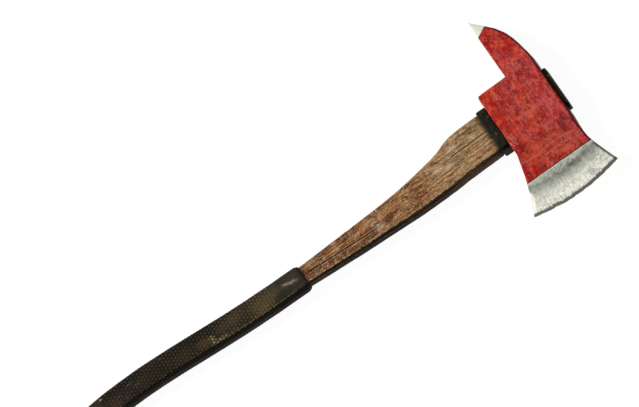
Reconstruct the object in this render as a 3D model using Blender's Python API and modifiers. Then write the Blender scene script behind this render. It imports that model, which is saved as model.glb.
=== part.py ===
"""Fire axe: forged head with a pick, on a 32 inch hickory handle with a rubber grip.

Units are metres, +Z up. The axe lies on its side: +X runs up the handle to the
head, +Y points to the pick, -Y to the cutting edge, +Z is the thickness.

Dimensions below are millimetres in the axe's own frame, whose X = 0 is the
underside of the head and whose Z = 0 is the middle plane of head and handle.
The empty "axe_origin" carries every piece, and puts the origin at the middle
of the underside of the whole axe.
"""

import bpy
import bmesh
import numpy as np
from math import atan2, cos, hypot, radians, sin, tau
from mathutils import Matrix

MM = 0.001
GAP = 0.35                      # clearance between touching pieces

# Whole axe ------------------------------------------------------------------
BUTT_X = -720.0                 # far end of the grip, below the head's underside
ORIGIN = (308.26, 2.93, 18.00)  # moves the axe's frame to the base frame

# Head -------------------------------------------------------------------------
HEAD_HEIGHT = 88.0              # along the handle
HEAD_HALF = 17.0                # half thickness at the eye
PICK_TIP = (43.7, 136.4)
PICK_UNDER_X = 45.0             # underside of the pick where it leaves the lug
LUG_Y = 41.0                    # flat top of the lug beside the pick
EDGE_CENTRE = (40.0, 115.0)     # centre of the cutting edge's arc
EDGE_RADIUS = 257.0
EDGE_LAND = 4.5                 # width of the sharpened bevel
HEEL = (-29.6, -135.6)          # corner nearest the grip, just past the arc
TOE = (104.6, -137.2)

# Eye and wedging -------------------------------------------------------------
EYE_Y = (-6.8, -8.6)            # middle of the eye at the underside and the top
EYE = ((-3.0, 57.6, 20.4), (45.0, 56.0, 19.4), (91.0, 59.4, 22.4))   # x, width, thickness
TONGUE_END = 86.4
KERF = (34.0, 1.8, 5.2)         # bottom x, slot thickness at the bottom and the top
STEP_OFFSET = 15.0              # step wedges sit this far either side of the middle
STEP = (61.0, 15.0, 1.2, 3.4)   # bottom x, width, thickness at the bottom and the top

# Collar and cap --------------------------------------------------------------
COLLAR = (-14.0, 64.4, 36.0)    # lower end x, width, thickness
COLLAR_BORE = (60.0, 29.4)
CAP = (93.1, 63.6, 28.0)        # outer face x, width, thickness

# Handle: x, middle y, width, thickness ------------------------------------------
SHOULDER = (
    (-15.8, -6.7, 61.8, 30.0),
    (-36.0, -6.9, 61.8, 30.0),
    (-54.0, -7.4, 61.2, 30.0),
    (-68.0, -9.3, 58.2, 29.6),
    (-80.0, -11.5, 54.8, 29.0),
    (-107.0, -14.4, 50.2, 28.0),
    (-133.0, -16.2, 46.4, 27.3),
    (-159.0, -17.1, 42.6, 26.7),
    (-211.0, -17.0, 37.5, 25.8),
    (-263.0, -16.0, 33.2, 25.0),
    (-315.0, -14.7, 28.0, 24.0),
)
# Grip, outside of the rubber ----------------------------------------------------
GRIP_START = -316.0
GRIP = (
    (-322.0, -14.8, 35.2, 29.0),
    (-367.0, -13.8, 35.2, 29.0),
    (-419.0, -11.5, 35.2, 29.0),
    (-471.0, -7.7, 35.2, 29.0),
    (-523.0, -3.7, 35.2, 29.0),
    (-575.0, -1.7, 35.2, 29.0),
    (-612.0, -2.1, 35.2, 29.0),
    (-640.0, -4.3, 35.6, 29.6),
    (-662.0, -7.8, 38.0, 31.2),
    (-682.0, -12.6, 42.6, 33.6),
    (-699.0, -18.0, 47.2, 35.6),
    (-712.0, -22.8, 49.6, 36.0),
)
GRIP_WALL = 3.1                 # rubber over the wood, to each side


# ------------------------------------------------------------------ helpers
def collection(name, hidden=False):
    made = bpy.data.collections.new(name)
    bpy.context.scene.collection.children.link(made)
    made.hide_render = hidden
    return made


def material(name, colour, roughness, metallic):
    made = bpy.data.materials.new(name)
    made.use_nodes = True
    shader = made.node_tree.nodes["Principled BSDF"]
    shader.inputs["Base Color"].default_value = (*colour, 1.0)
    shader.inputs["Roughness"].default_value = roughness
    shader.inputs["Metallic"].default_value = metallic
    made.diffuse_color = (*colour, 1.0)
    return made


def place(obj, group, finish=None, parent=None):
    group.objects.link(obj)
    if finish:
        obj.data.materials.append(finish)
    obj.parent = parent
    return obj


def as_cutter(obj):
    obj.hide_render = True
    obj.display_type = "WIRE"
    return obj


def object_of(name, bm):
    bmesh.ops.recalc_face_normals(bm, faces=bm.faces)
    mesh = bpy.data.meshes.new(name)
    bm.to_mesh(mesh)
    bm.free()
    return bpy.data.objects.new(name, mesh)


def loft(name, rings):
    """A closed skin through rings of equally many points, with a face at each end."""
    bm = bmesh.new()
    rows = [[bm.verts.new(np.array(p) * MM) for p in ring] for ring in rings]
    for a, b in zip(rows, rows[1:]):
        for i in range(len(a)):
            j = (i + 1) % len(a)
            bm.faces.new((a[i], a[j], b[j], b[i]))
    bm.faces.new(rows[0])
    bm.faces.new(rows[-1])
    return object_of(name, bm)


def flat_outline(name, points, half, plane="XY"):
    """A closed 2D curve extruded to both sides of its plane, as a mesh."""
    curve = bpy.data.curves.new(name, "CURVE")
    curve.dimensions = "2D"
    curve.fill_mode = "BOTH"
    curve.extrude = half * MM
    spline = curve.splines.new("POLY")
    spline.points.add(len(points) - 1)
    for point, (a, b) in zip(spline.points, points):
        point.co = (a * MM, b * MM, 0.0, 1.0)
    spline.use_cyclic_u = True
    flat = bpy.data.objects.new(name + "_outline", curve)
    bpy.context.scene.collection.objects.link(flat)
    if plane == "YZ":            # local X becomes world Y, local Y becomes world Z
        flat.rotation_euler = (radians(90), 0.0, radians(90))
    bpy.context.view_layer.update()
    graph = bpy.context.evaluated_depsgraph_get()
    mesh = bpy.data.meshes.new_from_object(flat.evaluated_get(graph))
    mesh.transform(flat.matrix_world)
    bpy.data.objects.remove(flat)
    bm = bmesh.new()
    bm.from_mesh(mesh)
    bpy.data.meshes.remove(mesh)
    bmesh.ops.remove_doubles(bm, verts=bm.verts, dist=1e-5)
    return object_of(name, bm)


def applied(obj):
    """The object with its modifiers worked into its mesh."""
    bpy.context.view_layer.update()
    graph = bpy.context.evaluated_depsgraph_get()
    mesh = bpy.data.meshes.new_from_object(obj.evaluated_get(graph))
    obj.modifiers.clear()
    obj.data = mesh
    return obj


def boolean(obj, other, operation):
    step = obj.modifiers.new(other.name, "BOOLEAN")
    step.operation = operation
    step.solver = "EXACT"
    step.object = other


def smooth(obj, angle=35):
    obj.data.shade_smooth()
    obj.data.set_sharp_from_angle(angle=radians(angle))


def through(stations, x):
    """Catmull-Rom value of every column of the stations at x. Stations run down in x."""
    rows = np.array(stations, float)[::-1]
    xs = rows[:, 0]
    x = min(max(x, xs[0]), xs[-1])
    k = int(np.clip(np.searchsorted(xs, x) - 1, 0, len(xs) - 2))
    slopes = np.gradient(rows[:, 1:], xs, axis=0)
    h = xs[k + 1] - xs[k]
    t = (x - xs[k]) / h
    return (
        (2 * t**3 - 3 * t**2 + 1) * rows[k, 1:]
        + (t**3 - 2 * t**2 + t) * h * slopes[k]
        + (-2 * t**3 + 3 * t**2) * rows[k + 1, 1:]
        + (t**3 - t**2) * h * slopes[k + 1]
    )


def eight_sided(x, y, width, thick, cut_y, cut_z, lean=0.0, ease=1.3):
    """One cross-section: a flat-sided octagon with its corners eased, square to the handle's run."""
    w, t = width / 2, thick / 2
    corners = [
        (w, -(t - cut_z)), (w, t - cut_z), (w - cut_y, t), (-(w - cut_y), t),
        (-w, t - cut_z), (-w, -(t - cut_z)), (-(w - cut_y), -t), (w - cut_y, -t),
    ]
    ring = []
    for i, corner in enumerate(corners):
        here = np.array(corner)
        for other in (corners[i - 1], corners[(i + 1) % 8]):
            away = np.array(other) - here
            ring.append(here + away / hypot(*away) * min(ease, 0.3 * hypot(*away)))
    return [(x - sin(lean) * a, y + cos(lean) * a, b) for a, b in ring]


def grown(section, by):
    """The section's numbers with its width and thickness larger by this much all round."""
    x, y, w, t = section
    return x, y, w + 2 * by, t + 2 * by


def tapered_block(name, x0, x1, y0, y1, width, at_x0, at_x1, thin="z"):
    """A wedge along X whose middle line runs from y0 to y1, thin across Z or across Y."""
    bm = bmesh.new()
    bmesh.ops.create_cube(bm, size=1.0)
    for v in bm.verts:
        top = v.co.x > 0
        thick = at_x1 if top else at_x0
        across = (width, thick) if thin == "z" else (thick, width)
        v.co = (
            (x1 if top else x0) * MM,
            ((y1 if top else y0) + v.co.y * across[0]) * MM,
            v.co.z * across[1] * MM,
        )
    return object_of(name, bm)


def eye_middle(x):
    return EYE_Y[0] + (EYE_Y[1] - EYE_Y[0]) * x / HEAD_HEIGHT


def eye_rings(by, x_from, x_to):
    """Cross-sections of the hourglass eye from x_from to x_to, made larger by this much all round."""
    rings = []
    for x in np.linspace(x_from, x_to, 9):
        width, thick = through(EYE[::-1], x)
        rings.append(eight_sided(x, eye_middle(x), width + 2 * by, thick + 2 * by, 8.0, 6.0, ease=2.5))
    return rings


# ------------------------------------------------------------------ scene
for old in list(bpy.data.objects):
    bpy.data.objects.remove(old)

axe = collection("fire_axe")
cutters = collection("cutters", hidden=True)

origin = bpy.data.objects.new("axe_origin", None)
origin.location = [c * MM for c in ORIGIN]
axe.objects.link(origin)

red_paint = material("red_paint", (0.42, 0.022, 0.018), 0.38, 0.0)
hickory = material("hickory", (0.27, 0.20, 0.12), 0.62, 0.0)
wedge_wood = material("wedge_wood", (0.38, 0.29, 0.17), 0.7, 0.0)
steel = material("wedge_steel", (0.42, 0.42, 0.41), 0.4, 1.0)
grip_rubber = material("grip_rubber", (0.030, 0.026, 0.016), 0.75, 0.0)
collar_rubber = material("collar_rubber", (0.016, 0.014, 0.012), 0.7, 0.0)
cap_rubber = material("cap_rubber", (0.022, 0.016, 0.010), 0.6, 0.0)


# ------------------------------------------------------------------ head
def head_outline():
    """Side view of the head, past the cutting edge's arc, which the disc below trims."""
    return [
        PICK_TIP,
        (PICK_UNDER_X, LUG_Y + 1.2),
        (PICK_UNDER_X - 1.2, LUG_Y),
        (2.0, LUG_Y), (0.6, LUG_Y - 0.6), (0.0, LUG_Y - 2.0),
        (0.0, -52.5), (-1.3, -57.0), (-3.7, -65.0), (-6.6, -75.5), (-11.3, -91.0),
        (-15.7, -102.6), (-15.2, -105.2), (-18.3, -109.8), (-22.5, -118.7),
        HEEL,
        (HEEL[0] - 0.6, -152.0), (TOE[0] + 6.0, -152.0),
        TOE,
        (97.7, -117.3), (93.6, -105.0), (90.4, -95.0), (88.3, -86.0), (87.2, -75.0),
        (87.2, -64.0), (88.0, -50.0),
        (88.0, 36.0), (87.6, 50.0), (84.2, 69.0), (81.2, 81.6), (76.8, 93.6),
        (69.2, 106.8), (58.4, 119.8),
    ]


def head_profile():
    """End view of the head: half thickness from the pick's tip down the cheeks to the bit."""
    half = [
        (137.0, 0.9), (122.0, 3.6), (110.0, 6.0), (94.0, 8.8), (70.0, 12.6), (52.0, 15.4),
        (LUG_Y - 1.0, 16.6), (28.0, HEAD_HALF), (-38.0, HEAD_HALF), (-45.0, 16.0),
        (-53.0, 13.2), (-62.0, 10.6), (-74.0, 8.4), (-90.0, 6.8), (-156.0, 6.4),
    ]
    return half + [(y, -z) for y, z in reversed(half)]


def bit_disc():
    """A turned disc whose rim is the cutting edge: hollow-ground cheeks, then the sharpened land."""
    land = EDGE_RADIUS - EDGE_LAND
    down = [
        (0.0, 30.0), (174.0, 30.0), (190.0, 9.6), (206.0, 6.6), (220.0, 4.9),
        (236.0, 3.4), (land, 2.3), (EDGE_RADIUS, 0.25),
    ]
    down += [(r, -z) for r, z in reversed(down)]
    mesh = bpy.data.meshes.new("bit_disc")
    mesh.from_pydata([(r * MM, 0.0, z * MM) for r, z in down], [(i, i + 1) for i in range(len(down) - 1)], [])
    disc = bpy.data.objects.new("bit_disc", mesh)
    cutters.objects.link(disc)
    turn = disc.modifiers.new("turn", "SCREW")
    turn.axis = "Z"
    turn.angle = tau
    turn.steps = turn.render_steps = 120
    turn.use_merge_vertices = True
    turn.merge_threshold = 0.0001
    applied(disc)
    disc.data.transform(Matrix.Translation((EDGE_CENTRE[0] * MM, EDGE_CENTRE[1] * MM, 0.0)))
    return as_cutter(disc)


side_view = flat_outline("axe_head", head_outline(), 24.0)
end_view = flat_outline("head_profile", head_profile(), 90.0, plane="YZ")
end_view.data.transform(Matrix.Translation((40.0 * MM, 0.0, 0.0)))
cutters.objects.link(as_cutter(end_view))
head = place(side_view, axe, red_paint)
boolean(head, end_view, "INTERSECT")
applied(head)

# Break the long edges of the cheeks, the lug and the pick by one millimetre.
ease = head.modifiers.new("ease", "BEVEL")
ease.width = 1.0 * MM
ease.segments = 2
ease.limit_method = "ANGLE"
ease.angle_limit = radians(50)
applied(head)

boolean(head, bit_disc(), "INTERSECT")
eye = as_cutter(loft("eye", eye_rings(0.0, -3.0, 91.0)))
cutters.objects.link(eye)
boolean(head, eye, "DIFFERENCE")
applied(head)
smooth(head, 25)
head.parent = origin


# ------------------------------------------------------------------ handle
def lean_at(stations, x):
    """Angle of the middle line at x, from its rise over a few millimetres."""
    ahead, behind = through(stations, x + 3.0)[0], through(stations, x - 3.0)[0]
    return atan2(ahead - behind, 6.0)


def inside_grip(x):
    """The wood under the rubber: the grip's section less its wall, held to a round-edged oblong."""
    y, w, t = through(GRIP, x)
    return y, w - 2 * GRIP_WALL, t - 2 * GRIP_WALL + 0.6


def handle_rings():
    rings = []
    for x in (-716.2, -712.0, -705.0, -697.0, -688.0, -678.0, -667.0, -654.0, -640.0, -622.0, -600.0,
              -575.0, -549.0, -523.0, -497.0, -471.0, -445.0, -419.0, -393.0, -367.0, -345.0, -326.0):
        y, w, t = inside_grip(x)
        if x < -716:
            w, t = w - 5, t - 5
        rings.append(eight_sided(x, y, w, t, 4.0, 6.5, lean_at(GRIP, x)))
    for x in (-312.0, -289.0, -263.0, -237.0, -211.0, -185.0, -159.0, -146.0, -133.0, -120.0, -107.0,
              -93.0, -80.0, -68.0, -61.0, -54.0, -46.0, -36.0, -26.0, -15.8):
        y, w, t = through(SHOULDER, x)
        broad = (w - 28.0) / 34.0
        rings.append(eight_sided(x, y, w, t, 3.0 + 1.5 * broad, 6.0 + 2.0 * broad, lean_at(SHOULDER, x)))
    inner_w, inner_t = COLLAR_BORE[0] - 2 * GAP, COLLAR_BORE[1] - 2 * GAP
    for x in (COLLAR[0] - GAP, -8.0, -1.6):
        rings.append(eight_sided(x, eye_middle(x), inner_w, inner_t, 4.0, 7.5))
    return rings + eye_rings(-GAP, -1.2, TONGUE_END)


def kerf_cutter(name, by, top, grow_width):
    bottom, thin, thick = KERF
    return tapered_block(
        name, bottom - by, top, eye_middle(bottom), eye_middle(top), grow_width,
        thin + 2 * by, thick + 2 * by,
    )


def step_wedge(name, side, by=0.0, top=TONGUE_END):
    """A steel wedge driven across the wooden one, on one side of the eye's middle."""
    bottom, width, thin, thick = STEP
    rise = (thick - thin) / (TONGUE_END - bottom)
    return tapered_block(
        name, bottom - by, top,
        eye_middle(bottom) + side * STEP_OFFSET, eye_middle(top) + side * STEP_OFFSET,
        width + 2 * by, thin + 2 * by, thin + rise * (top - bottom) + 2 * by, thin="y",
    )


handle = place(loft("handle", handle_rings()), axe, hickory)
kerf = as_cutter(kerf_cutter("kerf", 0.0, 95.0, 90.0))
cutters.objects.link(kerf)
boolean(handle, kerf, "DIFFERENCE")

wedge = place(kerf_cutter("kerf_wedge", -GAP, TONGUE_END, 52.0), axe, wedge_wood)

for side, name in ((-1, "step_wedge_bit_side"), (1, "step_wedge_pick_side")):
    slot = as_cutter(step_wedge(name + "_slot", side, GAP, 95.0))
    cutters.objects.link(slot)
    boolean(handle, slot, "DIFFERENCE")
    boolean(wedge, slot, "DIFFERENCE")
    place(step_wedge(name, side), axe, steel, origin)

applied(handle)
applied(wedge)
smooth(handle, 25)
handle.parent = origin
wedge.parent = origin


# ------------------------------------------------------------------ collar and cap
def rounded_oblong(width, thick, corner, steps=4):
    points = []
    for k, (sx, sy) in enumerate(((1, 1), (-1, 1), (-1, -1), (1, -1))):
        cx, cy = sx * (width / 2 - corner), sy * (thick / 2 - corner)
        for i in range(steps + 1):
            angle = radians(90) * (k + i / steps)
            points.append((cx + corner * cos(angle), cy + corner * sin(angle)))
    return points


def slab_along_x(name, x0, x1, shape, ends):
    """The oblong from x0 to x1. ends: how far the outline draws in, and over what length, at each end."""
    rings = []
    (in0, over0), (in1, over1) = ends
    stops = [(x0, in0), (x0 + over0 * 0.3, in0 * 0.3), (x0 + over0, 0.0),
             (x1 - over1, 0.0), (x1 - over1 * 0.3, in1 * 0.3), (x1, in1)]
    for x, inset in stops:
        width, thick, corner = shape
        rings.append([
            (x, eye_middle(x) + a, b)
            for a, b in rounded_oblong(width - 2 * inset, thick - 2 * inset, corner - inset * 0.5)
        ])
    return loft(name, rings)


collar = place(
    slab_along_x("eye_collar", COLLAR[0], -GAP, (COLLAR[1], COLLAR[2], 7.0), ((2.4, 2.6), (0.5, 0.5))),
    axe, collar_rubber,
)
bore = as_cutter(loft("collar_bore", [
    eight_sided(x, eye_middle(x), *COLLAR_BORE, 4.3, 7.8) for x in (COLLAR[0] - 4.0, 4.0)
]))
cutters.objects.link(bore)
boolean(collar, bore, "DIFFERENCE")
applied(collar)
smooth(collar, 30)
collar.parent = origin

cap = place(
    slab_along_x("top_cap", HEAD_HEIGHT + GAP, CAP[0], (CAP[1], CAP[2], 9.0), ((0.4, 0.4), (1.4, 1.6))),
    axe, cap_rubber,
)
spigot = as_cutter(loft("spigot", [
    eight_sided(x, eye_middle(x), 57.4, 20.4, 8.0, 6.0, ease=2.5) for x in (TONGUE_END + GAP, CAP[0] - 1.6)
]))
cutters.objects.link(spigot)
boolean(cap, spigot, "UNION")
applied(cap)
smooth(cap, 30)
cap.parent = origin


# ------------------------------------------------------------------ grip
def grip_rings():
    """Up the inside of the rubber from the butt, over its lip, and down the outside."""
    inside = []
    for x in (-716.6, -712.0, -705.0, -697.0, -688.0, -678.0, -667.0, -654.0, -640.0, -622.0, -600.0,
              -575.0, -549.0, -523.0, -497.0, -471.0, -445.0, -419.0, -393.0, -367.0, -345.0, -326.0):
        y, w, t = inside_grip(x)
        inside.append(eight_sided(x, y, w + 2 * GAP, t + 2 * GAP, 4.1, 6.6, lean_at(GRIP, x)))
    y, w, t = inside_grip(GRIP_START)
    inside.append(eight_sided(GRIP_START, y, w + 2 * GAP + 1.0, t + 2 * GAP + 1.6, 4.1, 6.6, lean_at(GRIP, -322.0)))
    outside = [eight_sided(GRIP_START, through(GRIP, -322.0)[0], 30.6, 26.6, 3.2, 7.0, lean_at(GRIP, -322.0))]
    for x in (-321.6, -345.0, -367.0, -393.0, -419.0, -445.0, -471.0, -497.0, -523.0, -549.0, -575.0, -600.0,
              -622.0, -640.0, -654.0, -667.0, -678.0, -688.0, -697.0, -705.0, -712.0, -717.0, BUTT_X + 0.6, BUTT_X):
        y, w, t = through(GRIP, x)
        draw_in = {-717.0: 0.5, BUTT_X + 0.6: 2.2, BUTT_X: 4.6}.get(x, 0.0)
        broad = max(0.0, (w - 35.2) / 14.4)
        rings_cut = 3.5 + 3.5 * broad, 8.0 + 2.0 * broad
        outside.append(eight_sided(x, y, w - 2 * draw_in, t - 2 * draw_in, *rings_cut, lean_at(GRIP, x)))
    return inside + outside


grip = place(loft("grip_sleeve", grip_rings()), axe, grip_rubber, origin)
smooth(grip, 25)
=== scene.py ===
"""Looks of the fire axe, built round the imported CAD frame.

All shapes are worked out in millimetres in the axe's own frame: X = 0 is the underside of
the head, Z = 0 the middle plane, +Y towards the pick. to_row() moves them to the row frame.
"""

import math

import bpy
import bmesh
import numpy as np
from mathutils import Matrix, Vector


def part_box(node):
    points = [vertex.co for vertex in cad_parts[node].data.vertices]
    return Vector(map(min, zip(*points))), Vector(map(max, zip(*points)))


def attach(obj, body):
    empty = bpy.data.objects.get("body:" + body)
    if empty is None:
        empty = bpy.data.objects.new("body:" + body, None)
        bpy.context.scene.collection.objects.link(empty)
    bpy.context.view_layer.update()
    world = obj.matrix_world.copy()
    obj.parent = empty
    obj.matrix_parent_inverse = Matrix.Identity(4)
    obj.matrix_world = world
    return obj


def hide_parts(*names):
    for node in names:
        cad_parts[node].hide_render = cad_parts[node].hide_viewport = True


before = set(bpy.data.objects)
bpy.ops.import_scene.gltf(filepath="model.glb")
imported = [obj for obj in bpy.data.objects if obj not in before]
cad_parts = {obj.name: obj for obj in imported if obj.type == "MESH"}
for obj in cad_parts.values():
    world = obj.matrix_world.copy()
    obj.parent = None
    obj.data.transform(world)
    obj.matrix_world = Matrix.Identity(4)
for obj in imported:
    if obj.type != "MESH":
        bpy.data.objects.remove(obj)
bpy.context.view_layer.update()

COARSE = 1.0

cap_lo, cap_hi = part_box("top_cap")
head_lo, head_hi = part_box("axe_head")
ORG = np.array([cap_hi.x * 1000 - 93.1, head_lo.y * 1000 + 142.0, (head_lo.z + head_hi.z) * 500])

RNG = np.random.default_rng(20)


def to_row(points):
    return (np.asarray(points, float) + ORG) / 1000.0


# ============================================================ numeric helpers
def smoothstep(a, b, x):
    t = np.clip((np.asarray(x, float) - a) / (b - a), 0, 1)
    return t * t * (3 - 2 * t)


def _hash(ix, iy, iz, seed):
    h = (ix * 374761393 + iy * 668265263 + iz * 2147483647 % 1274126177 + seed * 974711) & 0xFFFFFFFF
    h = ((h ^ (h >> 13)) * 1274126177) & 0xFFFFFFFF
    h = ((h ^ (h >> 16)) * 2246822519) & 0xFFFFFFFF
    h = h ^ (h >> 15)
    return (h & 0xFFFFFF) / float(0xFFFFFF) * 2 - 1


def vnoise(p, seed=0):
    """Smooth value noise from -1 to 1 at points p (N, 3), one cell per unit."""
    p = np.asarray(p, float)
    i = np.floor(p).astype(np.int64)
    f = p - i
    f = f * f * f * (f * (f * 6 - 15) + 10)
    total = np.zeros(len(p))
    for dx in (0, 1):
        wx = f[:, 0] if dx else 1 - f[:, 0]
        for dy in (0, 1):
            wy = f[:, 1] if dy else 1 - f[:, 1]
            for dz in (0, 1):
                wz = f[:, 2] if dz else 1 - f[:, 2]
                total += wx * wy * wz * _hash(i[:, 0] + dx, i[:, 1] + dy, i[:, 2] + dz, seed)
    return total


def fbm(p, octaves=3, seed=0, gain=0.5):
    total, amp, scale, norm = 0.0, 1.0, 1.0, 0.0
    for k in range(octaves):
        total = total + amp * vnoise(np.asarray(p) * scale, seed + 17 * k)
        norm += amp
        amp *= gain
        scale *= 2.03
    return total / norm


def hermite(table, x):
    """Smooth curve through table rows (x, a, b, ...) at every x. Rows may run either way."""
    rows = np.array(sorted(table), float)
    xs = rows[:, 0]
    x = np.clip(np.asarray(x, float), xs[0], xs[-1])
    k = np.clip(np.searchsorted(xs, x) - 1, 0, len(xs) - 2)
    slopes = np.gradient(rows[:, 1:], xs, axis=0)
    # Hold back slopes where the table turns, so that nothing overshoots.
    step = np.diff(rows[:, 1:], axis=0) / np.diff(xs)[:, None]
    for i in range(1, len(xs) - 1):
        turn = step[i - 1] * step[i] <= 0
        slopes[i][turn] = 0
        limit = 3 * np.minimum(abs(step[i - 1]), abs(step[i]))
        slopes[i] = np.clip(slopes[i], -limit, limit)
    h = (xs[k + 1] - xs[k])[..., None]
    t = ((x - xs[k]))[..., None] / h
    out = (
        (2 * t**3 - 3 * t**2 + 1) * rows[k, 1:]
        + (t**3 - 2 * t**2 + t) * h * slopes[k]
        + (-2 * t**3 + 3 * t**2) * rows[k + 1, 1:]
        + (t**3 - t**2) * h * slopes[k + 1]
    )
    return out[..., 0] if rows.shape[1] == 2 else out


def distance_to_path(points, path):
    """Shortest distance in XY from each point to an open chain of points."""
    best = np.full(len(points), 1e9)
    a, b = path[:-1], path[1:]
    d = b - a
    length2 = np.maximum((d * d).sum(1), 1e-9)
    for start in range(0, len(points), 4000):
        p = points[start:start + 4000]
        t = np.clip(((p[:, None] - a) * d).sum(2) / length2, 0, 1)
        away = p[:, None] - (a + t[..., None] * d)
        best[start:start + 4000] = np.sqrt((away**2).sum(2).min(1))
    return best


# ============================================================ mesh helpers
def mesh_object(name, verts, faces, smooth_angle=40):
    """verts in the axe's millimetres; faces as rows of three or four indices (-1 pads a triangle)."""
    faces = np.asarray(faces)
    mesh = bpy.data.meshes.new(name)
    sizes = np.where(faces[:, -1] < 0, faces.shape[1] - 1, faces.shape[1])
    flat = faces.reshape(-1)
    flat = flat[flat >= 0]
    mesh.vertices.add(len(verts))
    mesh.vertices.foreach_set("co", to_row(verts).astype(np.float32).reshape(-1))
    mesh.loops.add(len(flat))
    mesh.loops.foreach_set("vertex_index", flat.astype(np.int32))
    mesh.polygons.add(len(faces))
    starts = np.concatenate([[0], np.cumsum(sizes)[:-1]]).astype(np.int32)
    mesh.polygons.foreach_set("loop_start", starts)
    mesh.polygons.foreach_set("loop_total", sizes.astype(np.int32))
    mesh.update(calc_edges=True)
    mesh.validate()
    obj = bpy.data.objects.new(name, mesh)
    bpy.context.scene.collection.objects.link(obj)
    outward(obj)
    shade(obj, smooth_angle)
    return obj


def outward(obj):
    bm = bmesh.new()
    bm.from_mesh(obj.data)
    bmesh.ops.recalc_face_normals(bm, faces=bm.faces)
    if bm.calc_volume(signed=True) < 0:
        bmesh.ops.reverse_faces(bm, faces=bm.faces)
    bm.to_mesh(obj.data)
    bm.free()


def shade(obj, angle=40):
    obj.data.shade_smooth()
    if angle:
        obj.data.set_sharp_from_angle(angle=math.radians(angle))


def coords(obj):
    """Vertices in the axe's millimetres."""
    co = np.empty(len(obj.data.vertices) * 3, np.float32)
    obj.data.vertices.foreach_get("co", co)
    return co.reshape(-1, 3).astype(float) * 1000 - ORG


def set_coords(obj, co):
    obj.data.vertices.foreach_set("co", to_row(co).astype(np.float32).reshape(-1))
    obj.data.update()


def normals(obj):
    no = np.empty(len(obj.data.vertices) * 3, np.float32)
    obj.data.vertices.foreach_get("normal", no)
    return no.reshape(-1, 3).astype(float)


def push(obj, amount):
    set_coords(obj, coords(obj) + normals(obj) * np.asarray(amount)[:, None])


def store(obj, name, values):
    values = np.asarray(values, np.float32)
    if values.ndim == 2:
        attribute = obj.data.attributes.new(name, "FLOAT_VECTOR", "POINT")
        attribute.data.foreach_set("vector", values.reshape(-1))
    else:
        attribute = obj.data.attributes.new(name, "FLOAT", "POINT")
        attribute.data.foreach_set("value", values)


def loft_faces(rows, cols, first_cap=True, last_cap=True):
    """Quads round a stack of closed rings, each of cols points."""
    r = np.arange(rows - 1)[:, None]
    c = np.arange(cols)[None, :]
    n = (c + 1) % cols
    quads = np.stack([r * cols + c, r * cols + n, (r + 1) * cols + n, (r + 1) * cols + c], -1)
    return quads.reshape(-1, 4)


def fan(ring, centre, flip=False):
    ring = np.asarray(ring)
    nxt = np.roll(ring, -1)
    tri = np.stack([ring, nxt, np.full(len(ring), centre), np.full(len(ring), -1)], 1)
    return tri[:, [1, 0, 2, 3]] if flip else tri


def lofted(name, rings, smooth_angle=40):
    """rings is (rows, cols, 3). Both ends are closed by a fan to their middle."""
    rows, cols, _ = rings.shape
    verts = np.concatenate([rings.reshape(-1, 3), rings[0].mean(0)[None], rings[-1].mean(0)[None]])
    faces = np.concatenate([
        loft_faces(rows, cols),
        fan(np.arange(cols), rows * cols, True),
        fan(np.arange(cols) + (rows - 1) * cols, rows * cols + 1),
    ])
    return mesh_object(name, verts, faces, smooth_angle)


def cut(obj, cutter, operation="DIFFERENCE"):
    step = obj.modifiers.new("cut", "BOOLEAN")
    step.operation = operation
    step.solver = "EXACT"
    step.object = cutter
    bpy.context.view_layer.update()
    graph = bpy.context.evaluated_depsgraph_get()
    mesh = bpy.data.meshes.new_from_object(obj.evaluated_get(graph))
    obj.modifiers.clear()
    old = obj.data
    obj.data = mesh
    mesh.name = obj.name
    bpy.data.meshes.remove(old)
    bpy.data.objects.remove(cutter)


# ============================================================ node helpers
def srgb(r, g, b):
    def lin(c):
        c /= 255.0
        return c / 12.92 if c <= 0.04045 else ((c + 0.055) / 1.055) ** 2.4
    return (lin(r), lin(g), lin(b), 1.0)


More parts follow.
